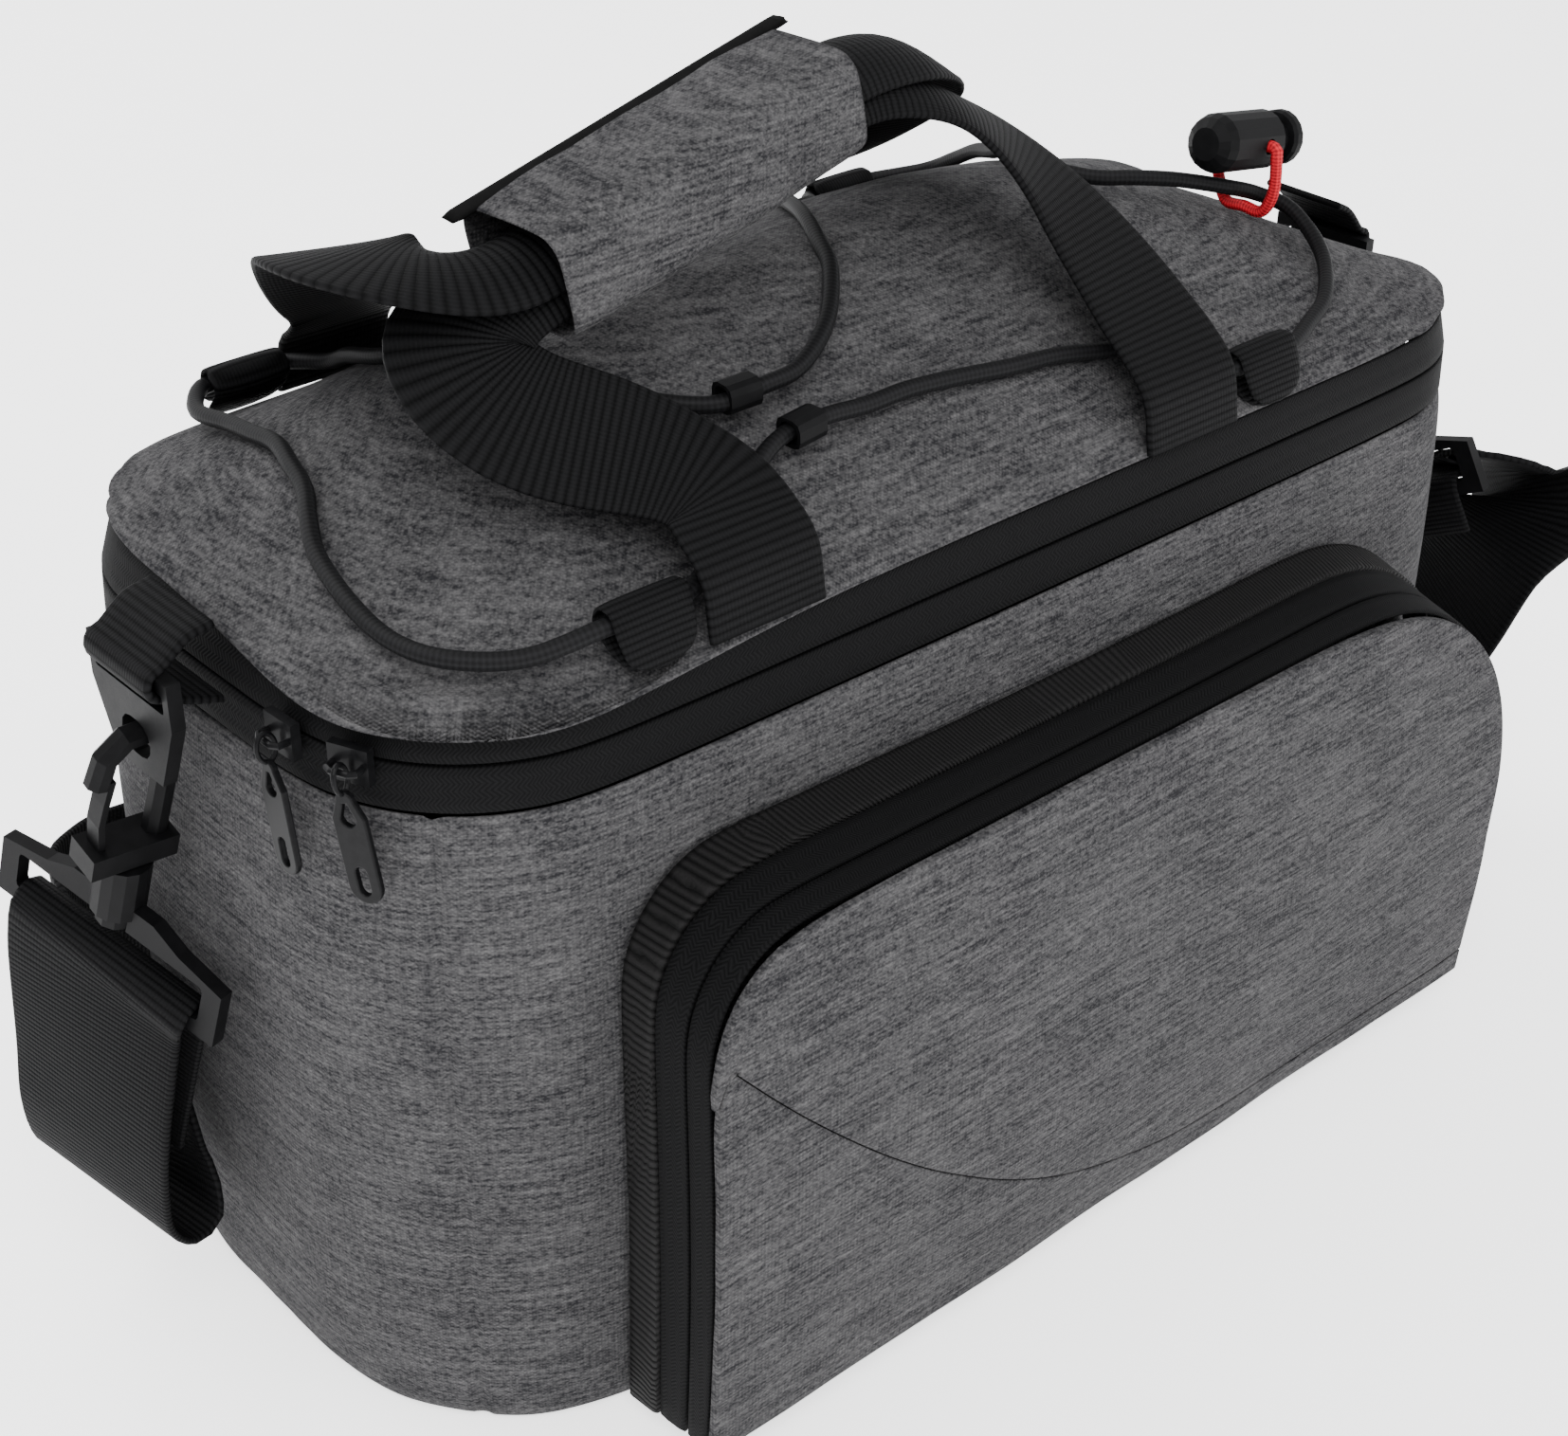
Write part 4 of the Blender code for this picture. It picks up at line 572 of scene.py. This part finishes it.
# The cord's ends meet inside the front left loop
topCord = {"diameter": 3.8, "sides": 12, "pitch": 2.5}
cordRows = [(*row, 0, 0, 1, 0) for row in topCordRows]
cordSection = roundSection(topCord["diameter"], topCord["sides"])
cordPiece = swept("elasticTopCord", cordRows, cordSection, topCord["pitch"], "cord")
settled(cordPiece, "black_cord", "top_cord")
cordLine = lineOf(cordRows, topCord["pitch"])
lengthOf(cordLine)

redCordRows = [
    (112.3, -25.5, 229), (112, -19.5, 229), (111.6, -18.5, 226.9), (111.7, -20.5, 218.3), (111.9, -23.3, 212.6),
    (112.1, -28.8, 212.6), (112.4, -34.3, 212.6), (112.6, -37.1, 218.3), (112.5, -37, 226.9), (112.8, -36, 229),
    (112.6, -30.5, 229)]

# Its ends are inside the lock
redCord = {"diameter": 3.0, "sides": 12, "pitch": 1.0}
redRows = [(*row, 1, 0, 0, 0) for row in redCordRows]
redSection = roundSection(redCord["diameter"], redCord["sides"])
redPiece = swept("redLockCord", redRows, redSection, redCord["pitch"], "red")
settled(redPiece, "red_cord", "red_cord_loop")
redLine = lineOf(redRows, redCord["pitch"])
lengthOf(redLine)
print("cord lengths in mm:", round(lengthOf(cordLine) / mm), round(lengthOf(redLine) / mm))
print("cords laid")


# Handles, end tabs and shoulder strap
# x, y, z, then the direction across the webbing, then how far it curls across, in degrees
frontHandleRows = [
    (-87.5, -77.7, 189.6, -1, 0, 0, 0), (-87.5, -75.2, 201.8, -1, 0, 0, 0), (-87.5, -69, 207.8, -1, 0, 0, 0),
    (-88, -61, 212.7, -1, -0.05, 0, 0), (-94, -52, 217.7, -0.92, -0.25, -0.2, 0),
    (-103, -44.5, 221.7, -0.9, -0.1, -0.4, 0), (-112, -38, 224.5, -0.9, -0.1, -0.4, 0),
    (-119, -31, 229.6, -0.95, 0, -0.25, 0), (-122, -23, 236.5, -0.8, 0.35, 0.1, 0),
    (-117, -17.5, 243, -0.4, 0.8, 0.4, 40), (-108.9, -16.6, 245.6, -0.05, 0.95, 0.2, 115),
    (-101.7, -16.3, 247.2, -0.05, 1, 0, 155), (-58.8, -14, 257.2, -0.05, 1, 0, 155),
    (-15.8, -11.8, 267.1, -0.05, 1, 0, 155), (-8.6, -11.4, 268.8, -0.05, 1, 0, 145),
    (-1, -14, 265.9, 0, 1, 0, 110), (9, -15, 263.1, 0.05, 1, 0.05, 70),
    (22, -20.5, 255, 0.25, 0.93, 0.2, 25), (32, -32, 241.9, 0.6, 0.75, 0.2, 0),
    (37, -47, 227.6, 0.93, 0.35, 0.1, 0), (39, -61, 215.1, 1, 0.05, 0, 0), (39.5, -69, 208.7, 1, 0, 0, 0),
    (39.5, -75.2, 201.9, 1, 0, 0, 0), (39.5, -77.7, 189.6, 1, 0, 0, 0)]

backHandleRows = [
    (-87.5, 77.7, 189.6, 1, 0, 0, 0), (-87.5, 75.2, 201.8, 1, 0, 0, 0), (-87.5, 70, 207, 1, 0, 0, 0),
    (-90, 62, 213.2, 1, -0.05, 0, 0), (-101, 49, 222.3, 0.95, -0.3, 0, 0), (-113, 34, 235.3, 0.9, -0.45, 0, 0),
    (-121, 21, 245.7, 0.88, -0.45, 0, 0), (-127, 8, 251, 0.95, -0.2, 0, 0), (-127, -4, 252.8, 0.9, 0.4, 0, 0),
    (-120, -12.5, 252.8, 0.5, 0.85, 0, 50), (-110.1, -16.7, 250.8, 0.1, 1, 0, 125),
    (-103, -16.3, 252.5, -0.05, 1, 0, 155), (-60, -14.1, 262.4, -0.05, 1, 0, 155),
    (-17, -11.8, 272.4, -0.05, 1, 0, 155), (-9.9, -11.5, 274, -0.05, 1, 0, 145), (0, -9.5, 271.8, 0, 1, 0, 110),
    (9, -8, 270.5, -0.05, 1, 0, 80), (22, 1, 261.4, -0.35, 0.93, 0, 30), (32, 14, 246.6, -0.75, 0.65, 0, 0),
    (38, 29, 232.7, -1, 0.2, 0, 0), (40, 46, 221.1, -1, 0.05, 0, 0), (40, 62, 212.4, -1, 0, 0, 0),
    (39.5, 70, 207.2, -1, 0, 0, 0), (39.5, 75.2, 201.8, -1, 0, 0, 0), (39.5, 77.7, 189.6, -1, 0, 0, 0)]

handle = {"width": 30.0, "thick": 1.8, "across": 10, "pitch": 2.5, "passes": 22}
handleSection = flatSection(handle["width"], handle["thick"], handle["across"])
for name, rows, node in (("frontHandleWebbing", frontHandleRows, "front_handle"),
                         ("backHandleWebbing", backHandleRows, "back_handle")):
    settled(swept(name, rows, handleSection, handle["pitch"], "webbing", passes=handle["passes"]), "webbing", node)

leftTabRows = [
    (-173.6, -1, 193, 0, 1, 0, 0), (-179.6, -1, 191.9, 0, 1, 0, 0), (-185.6, -1, 187.5, 0, 1, 0, 0),
    (-188.1, -1, 186.5, 0, 1, 0, 0), (-189.1, -1, 184, 0, 1, 0, 0), (-188.1, -1, 181.5, 0, 1, 0, 0),
    (-185.6, -1, 180.5, 0, 1, 0, 0), (-179.6, -1, 178, 0, 1, 0, 0), (-173.6, -1, 176, 0, 1, 0, 0)]

rightTabRows = [
    (173.6, -1, 193, 0, 1, 0, 0), (179.6, -1, 189.6, 0, 1, 0, 0), (185.6, -1, 183, 0, 1, 0, 0),
    (188.1, -1, 182, 0, 1, 0, 0), (189.1, -1, 179.5, 0, 1, 0, 0), (188.1, -1, 177, 0, 1, 0, 0),
    (185.6, -1, 176, 0, 1, 0, 0), (179.6, -1, 175.7, 0, 1, 0, 0), (173.6, -1, 176, 0, 1, 0, 0)]

endTab = {"width": 25.0, "thick": 1.8, "across": 6, "pitch": 1.2}
tabSection = flatSection(endTab["width"], endTab["thick"], endTab["across"])
for name, rows, node in (("leftTabWebbing", leftTabRows, "left_end_tab"),
                         ("rightTabWebbing", rightTabRows, "right_end_tab")):
    settled(swept(name, rows, tabSection, endTab["pitch"], "webbing"), "webbing", node)

strapRows = [
    (-193.2, 30.3, 61.4, 0.26, -0.92, -0.29, 0), (-188.5, 17.7, 105.4, 0.26, -0.92, -0.29, 0),
    (-189.3, 16.7, 108.1, 0.26, -0.92, -0.29, 0), (-191.8, 15.6, 109.3, 0.26, -0.92, -0.29, 0),
    (-194.6, 15.1, 108.2, 0.26, -0.92, -0.29, 0), (-196, 15.6, 105.6, 0.26, -0.92, -0.29, 0),
    (-196.8, 17.8, 98, 0.26, -0.92, -0.29, 0), (-199.5, 21, 70, 0.2, -0.98, 0, 0),
    (-200.5, 23, 52, 0.18, -0.98, 0, 0), (-199, 24, 40, 0.14, -0.98, 0, 0), (-193, 25, 33, 0.1, -0.99, 0, 0),
    (-186, 26, 34, 0.05, -1, 0, 0), (-183, 28, 42, 0, -1, 0, 0), (-182.4, 37, 62, 0, -0.7, 0.7, 0),
    (-182.4, 59, 71, 0, 0, 1, 0), (-172, 79, 69, 0, 0, 1, 0), (-144, 91.5, 62, 0, 0, 1, 0),
    (-80, 95, 50, 0, 0, 1, 0), (0, 96, 44, 0, 0, 1, 0), (80, 95, 44, 0, 0, 1, 0), (144, 91.5, 46, 0, 0, 1, 0),
    (172, 79, 46, 0, 0, 1, 0), (186, 50, 44, 0, 0.1, 1, 0), (193, 16, 40, 0, 0.3, 0.95, 0),
    (199, -14, 40, 0.1, 0.75, 0.65, 0), (205, -34, 52, 0.25, 0.95, 0.25, 0), (208, -45, 72, 0.35, 0.95, 0, 0),
    (214, -50, 90, 0.35, 0.95, 0, 0), (224, -52, 99, 0.3, 0.95, 0.1, 0), (231, -49, 105, 0.3, 0.95, 0, 0),
    (228, -44, 111, 0.2, 0.97, -0.15, 0), (219, -38, 113, 0, 0.93, -0.35, 0),
    (204.9, -25.2, 111.2, -0.1, 0.88, -0.45, 0), (198.2, -27.2, 108.9, -0.1, 0.88, -0.45, 0),
    (194.7, -28.1, 107.9, -0.1, 0.88, -0.45, 0), (191.8, -28, 108.8, -0.1, 0.88, -0.45, 0),
    (189.2, -28.9, 107.6, -0.1, 0.88, -0.45, 0), (188.4, -30.3, 105.2, -0.1, 0.88, -0.45, 0),
    (189.6, -35.6, 94.5, -0.1, 0.88, -0.45, 0)]

strap = {"width": 50.0, "thick": 1.8, "across": 10, "pitch": 3.0}
strapSection = flatSection(strap["width"], strap["thick"], strap["across"])
strapPiece = swept("shoulderStrapWebbing", strapRows, strapSection, strap["pitch"], "strap")
settled(strapPiece, "webbing", "shoulder_strap")
print("webbing made")


# Cloth tub, with its corner seam
tub = {"levels": 3, "rim": 0.160, "rimFade": 0.03, "foot": 0.006, "footFade": 0.02,
       "swell": 1.5, "swellSize": 0.085, "swellSeed": 3.1,
       "crease": 0.4, "creaseSize": 0.028, "creaseSeed": 8.2, "creaseStretch": 0.4,
       "seam": 0.9, "seamWidth": 1.3, "seamTurn": 223.0, "seamMiddle": (-0.1255, -0.0305), "seamRadius": 46}


def tubShift(co, normal):
    # Swells the cloth between its rim and foot, and sinks the seam at the front left corner
    below = min(max((tub["rim"] - co.z) / tub["rimFade"], 0.0), 1.0)
    above = min(max((co.z - tub["foot"]) / tub["footFade"], 0.0), 1.0)
    swell = ripple(co, tub["swellSize"], tub["swellSeed"]) * tub["swell"]
    tall = Vector((co.x, co.y, co.z * tub["creaseStretch"]))
    swell += ripple(tall, tub["creaseSize"], tub["creaseSeed"]) * tub["crease"]
    turn = math.degrees(math.atan2(co.y - tub["seamMiddle"][1], co.x - tub["seamMiddle"][0])) % 360
    far = math.radians(turn - tub["seamTurn"]) * tub["seamRadius"]
    groove = hill(far, tub["seamWidth"]) * tub["seam"]
    return normal * (swell * (below * above) - groove) * mm


tubPiece = divided("tubCloth", "body_tub", tub["levels"], "cloth")
moved(tubPiece, tubShift)
settled(tubPiece, "grey_cloth", "body_tub")

# Padded lid, whose edge swells over the zip at the near left corner
lid = {"levels": 2, "fill": 0.6, "edge": 0.190, "edgeReach": 0.006, "edgeKeep": 0.004,
       "swell": 1.6, "swellSize": 0.06, "swellSeed": 1.7, "crease": 0.5, "creaseSize": 0.022, "creaseSeed": 5.3,
       "roll": 1.4, "corner": (-0.150, -0.060), "cornerReach": 0.055, "cornerRoll": 6.0, "hang": 6.0,
       "dents": [(-0.052, -0.047, 0.030, 2.2), (-0.128, -0.030, 0.024, 2.0), (0.050, -0.030, 0.035, 1.6),
                 (0.115, 0.020, 0.030, 1.8)]}


def lidShift(co, normal):
    # Rolls the edge outwards, most at the near left corner, and swells and dents the rest
    outside = 0.0 if normal.z < -0.3 else 1.0
    out = Vector((co.x, co.y, 0)).normalized()
    nearEdge = hill(co.z - lid["edge"], lid["edgeReach"])
    corner = hill((Vector((co.x, co.y)) - Vector(lid["corner"])).length, lid["cornerReach"])
    push = nearEdge * outside * (lid["roll"] + lid["cornerRoll"] * corner)
    dent = sum(deep * hill(math.hypot(co.x - x, co.y - y), reach) for x, y, reach, deep in lid["dents"])
    swell = ripple(co, lid["swellSize"], lid["swellSeed"]) * lid["swell"]
    swell += ripple(co, lid["creaseSize"], lid["creaseSeed"]) * lid["crease"]
    fade = 1 - hill(co.z - lid["edge"], lid["edgeKeep"])
    drop = Vector((0, 0, -lid["hang"] * corner * nearEdge * outside))
    return out * push * mm + drop * mm + Vector((0, 0, 1)) * (swell - dent) * fade * mm


lidPiece = divided("lidCloth", "lid", lid["levels"], "cloth")
moved(lidPiece, lidShift)
settled(lidPiece, "grey_cloth", "lid")

hinge = {"levels": 2, "crease": 0.8}
hingePiece = divided("hingeCloth", "lid_hinge", hinge["levels"], "cloth", hinge["crease"])
settled(hingePiece, "grey_cloth", "lid_hinge")
print("tub and lid dressed")


# Main zip round the front, the left end and the back
mainZip = {"middle": (0.0, 0.0), "forward": (-1, 0), "levels": 2, "crease": 0.9}
for name, node, finish, level in (("mainZipLowerTape", "main_zip_lower_tape", "tape", 0.1764),
                                  ("mainZipUpperTape", "main_zip_upper_tape", "tape", 0.1774),
                                  ("mainZipStitches", "main_zip_coil", "coil", 0.1769)):
    piece = divided(name, node, mainZip["levels"], finish, mainZip["crease"])
    outlineMap(piece, mainZip["middle"], (0, 1), mainZip["forward"], beyond(2, level))
    settled(piece, "zip_tape", node)

# Pocket: corded band, zip, face in two panels and floor
pocket = {"middle": (0.005, 0.065), "forward": (0, 1), "levels": 2, "crease": 0.9,
          "faceLevels": 3, "faceCrease": 0.55,
          "puff": 1.2, "puffSize": 0.06, "puffSeed": 4.4, "rumple": 0.35, "rumpleSize": 0.02, "rumpleSeed": 9.7,
          "fold": 1.5, "foldPlace": (0.075, 0.080), "foldAhead": (0.80, 0.60),
          "foldLong": 0.030, "foldWide": 0.006}
for name, node, finish, slotName in (("pocketCordedBand", "pocket_ribbed_band", "band", "ribbed_band"),
                                     ("pocketRearTape", "pocket_zip_rear_tape", "tape", "zip_tape"),
                                     ("pocketFrontTape", "pocket_zip_front_tape", "tape", "zip_tape"),
                                     ("pocketStitches", "pocket_zip_coil", "coil", "zip_tape")):
    low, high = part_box(node)
    piece = divided(name, node, pocket["levels"], finish, pocket["crease"])
    outlineMap(piece, pocket["middle"], (0, 2), pocket["forward"], beyond(1, (low[1] + high[1]) / 2))
    settled(piece, slotName, node)


def faceShift(co, normal):
    # Puffs the pocket's face outwards, with one slanting fold
    outside = 0.0 if normal.y > 0.3 else 1.0
    swell = ripple(co, pocket["puffSize"], pocket["puffSeed"]) * pocket["puff"]
    swell += ripple(co, pocket["rumpleSize"], pocket["rumpleSeed"]) * pocket["rumple"]
    x, z = co.x - pocket["foldPlace"][0], co.z - pocket["foldPlace"][1]
    ahead, rise = pocket["foldAhead"]
    along, off = x * ahead + z * rise, z * ahead - x * rise
    fold = hill(off, pocket["foldWide"]) * hill(along, pocket["foldLong"]) * pocket["fold"]
    return Vector((0, -1, 0)) * (swell + fold) * outside * mm


for name, node in (("pocketLowerPanel", "pocket_face_lower"), ("pocketUpperPanel", "pocket_face_upper")):
    piece = divided(name, node, pocket["faceLevels"], "cloth", pocket["faceCrease"])
    moved(piece, faceShift)
    settled(piece, "grey_cloth", node)
floorPiece = divided("pocketFloorCloth", "pocket_floor", pocket["levels"], "cloth", pocket["crease"])
settled(floorPiece, "grey_cloth", "pocket_floor")
print("zips and pocket dressed")


# Wrap round the handles, its hook-and-loop edge, and the four cord loops
wrapCover = {"levels": 3, "swell": 0.5, "swellSize": 0.02, "swellSeed": 6.6}


def wrapShift(co, normal):
    return normal * ripple(co, wrapCover["swellSize"], wrapCover["swellSeed"]) * wrapCover["swell"] * mm


wrapPiece = divided("wrapCloth", "handle_wrap", wrapCover["levels"], "cloth")
moved(wrapPiece, wrapShift)
settled(wrapPiece, "grey_cloth", "handle_wrap")
hookTape = {"levels": 2, "crease": 0.8, "heading": 3.0, "kept": 0.3, "inward": 3.6, "lower": 2.6}
hookPiece = divided("wrapHookTape", "wrap_flap", hookTape["levels"], "hookPile", hookTape["crease"])
hookTurn = math.radians(hookTape["heading"])
hookSide = Vector((-math.sin(hookTurn), math.cos(hookTurn), 0))
hookEdge = max(vert.co.dot(hookSide) for vert in hookPiece.data.vertices)


def hookShift(co, normal):
    # Keeps a strip of the tape by its back edge
    return (hookSide * ((hookEdge - co.dot(hookSide)) * (1 - hookTape["kept"]) - hookTape["inward"] * mm)
            - Vector((0, 0, hookTape["lower"] * mm)))


moved(hookPiece, hookShift)
settled(hookPiece, "webbing", "wrap_flap")


def uprightMap(piece):
    # UV in millimetres: u up the webbing's face, v along the bag
    mesh = piece.data
    layer = mesh.uv_layers.new(name="cloth")
    for corner in mesh.loops:
        co = mesh.vertices[corner.vertex_index].co
        layer.data[corner.index].uv = ((co.z - abs(co.y)) / mm, co.x / mm)


cordLoop = {"levels": 2}
for end in ("front_left", "front_right", "back_left", "back_right"):
    words = end.split("_")
    piece = divided("cordLoop" + words[0].title() + words[1].title(), "cord_loop_" + end, cordLoop["levels"], "webbing")
    uprightMap(piece)
    settled(piece, "webbing", "cord_loop_" + end)
print("wrap and cord loops dressed")


# Zip pulls: an oval ring and a tab with a teardrop eye and a slot, leaning towards the front
pull = {"wire": 1.1, "sides": 10, "ringTall": 3.0, "ringDeep": 2.1, "ringDrop": 1.35, "ringRows": 14,
        "ringPitch": 0.5, "long": 25.0, "wide": 7.5, "thick": 1.5, "neck": 2.0, "shoulder": 6.0,
        "bevel": 0.35, "rounds": 2, "lean": 9.0, "eyeEnd": 6.0, "eyeWide": 1.7, "eyeTip": (0.45, 2.6),
        "slotWide": 1.3, "slotStart": -3.2, "slotEnd": 0.6,
        "hang": {"1": ((-176.5, -33.07, 176.9), (-0.0379, 0.9993, 0)),
                 "2": ((-171.94, -51.68, 176.9), (-0.4019, 0.9157, 0))}}


def arcPoints(middle, radius, start, end, steps):
    turns = [math.radians(start + (end - start) * k / steps) for k in range(steps + 1)]
    return [(middle[0] + radius * math.cos(a), middle[1] + radius * math.sin(a)) for a in turns]


def tabOutlines():
    # The tab's edge, its teardrop eye and its slot, as (across, down)
    half, tip = pull["wide"] / 2, pull["eyeTip"]
    low = pull["long"] - half
    outer = arcPoints((0, pull["neck"]), pull["neck"], 180, 360, 8) + [(half, pull["shoulder"])]
    outer += arcPoints((0, low), half, 0, 180, 14) + [(-half, pull["shoulder"])]
    eye = arcPoints((0, pull["eyeEnd"]), pull["eyeWide"], 0, 180, 8) + [(-tip[0], tip[1]), tip]
    slot = arcPoints((0, low + pull["slotEnd"]), pull["slotWide"], 0, 180, 8)
    slot += arcPoints((0, low + pull["slotStart"]), pull["slotWide"], 180, 360, 8)
    return [outer, eye, slot]


def tabPlate(name):
    # The flat tab with its holes and rounded edges, as a mesh in millimetres
    curve = bpy.data.curves.new(name, "CURVE")
    curve.dimensions = "2D"
    curve.fill_mode = "BOTH"
    curve.extrude = pull["thick"] / 2 - pull["bevel"]
    curve.bevel_depth = pull["bevel"]
    curve.bevel_resolution = pull["rounds"]
    curve.offset = -pull["bevel"]
    for outline in tabOutlines():
        spline = curve.splines.new("POLY")
        spline.points.add(len(outline) - 1)
        for point, (x, y) in zip(spline.points, outline):
            point.co = (x, y, 0, 1)
        spline.use_cyclic_u = True
    holder = bpy.data.objects.new(name, curve)
    bpy.context.collection.objects.link(holder)
    mesh = bpy.data.meshes.new_from_object(holder.evaluated_get(bpy.context.evaluated_depsgraph_get()))
    bpy.data.objects.remove(holder)
    return mesh


def zipPull(name, node, number):
    pivot, along = (Vector(v) for v in pull["hang"][number])
    lean = math.radians(pull["lean"])
    down = Vector((0, 0, -1)) * math.cos(lean) - along * math.sin(lean)
    across = along * math.cos(lean) - Vector((0, 0, 1)) * math.sin(lean)
    out = across.cross(down)
    place = Matrix((across, down, out)).transposed().to_4x4()
    place.translation = pivot + down * (pull["ringDrop"] + pull["ringTall"] - pull["wire"] / 2)
    tab = tabPlate(name + "Tab")
    work = bmesh.new()
    work.from_mesh(tab)
    bmesh.ops.transform(work, matrix=Matrix.Diagonal((mm, mm, mm, 1)) @ place, verts=work.verts)
    bpy.data.meshes.remove(tab)
    ringMiddle = pivot + down * pull["ringDrop"]
    ringRows = []
    for k in range(pull["ringRows"]):
        turn = 2 * math.pi * k / pull["ringRows"]
        spot = ringMiddle + out * math.cos(turn) * pull["ringDeep"] + down * math.sin(turn) * pull["ringTall"]
        ringRows.append((*spot, *across, 0))
    ringSection = roundSection(pull["wire"], pull["sides"])
    ring = swept(name + "Ring", ringRows, ringSection, pull["ringPitch"], "metal", closed=True)
    work.from_mesh(ring.data)
    bpy.data.objects.remove(ring)
    piece = finished(name, work, "metal", smooth=False)
    settled(piece, "black_metal", node, body="pull_" + number)


for number in ("1", "2"):
    zipPull("zipPull" + number, "main_zip_pull_" + number, number)
print("zip pulls made")


# Hard pieces keep their CAD shape and get their finish
hardFinishes = {"black_plastic": "plastic", "black_metal": "metal"}
for row in frame["record"]["subparts"]:
    node = nodes[row["node"]]
    if row["material_slot"] in hardFinishes:
        node.data.materials.clear()
        node.data.materials.append(finishes[hardFinishes[row["material_slot"]]])
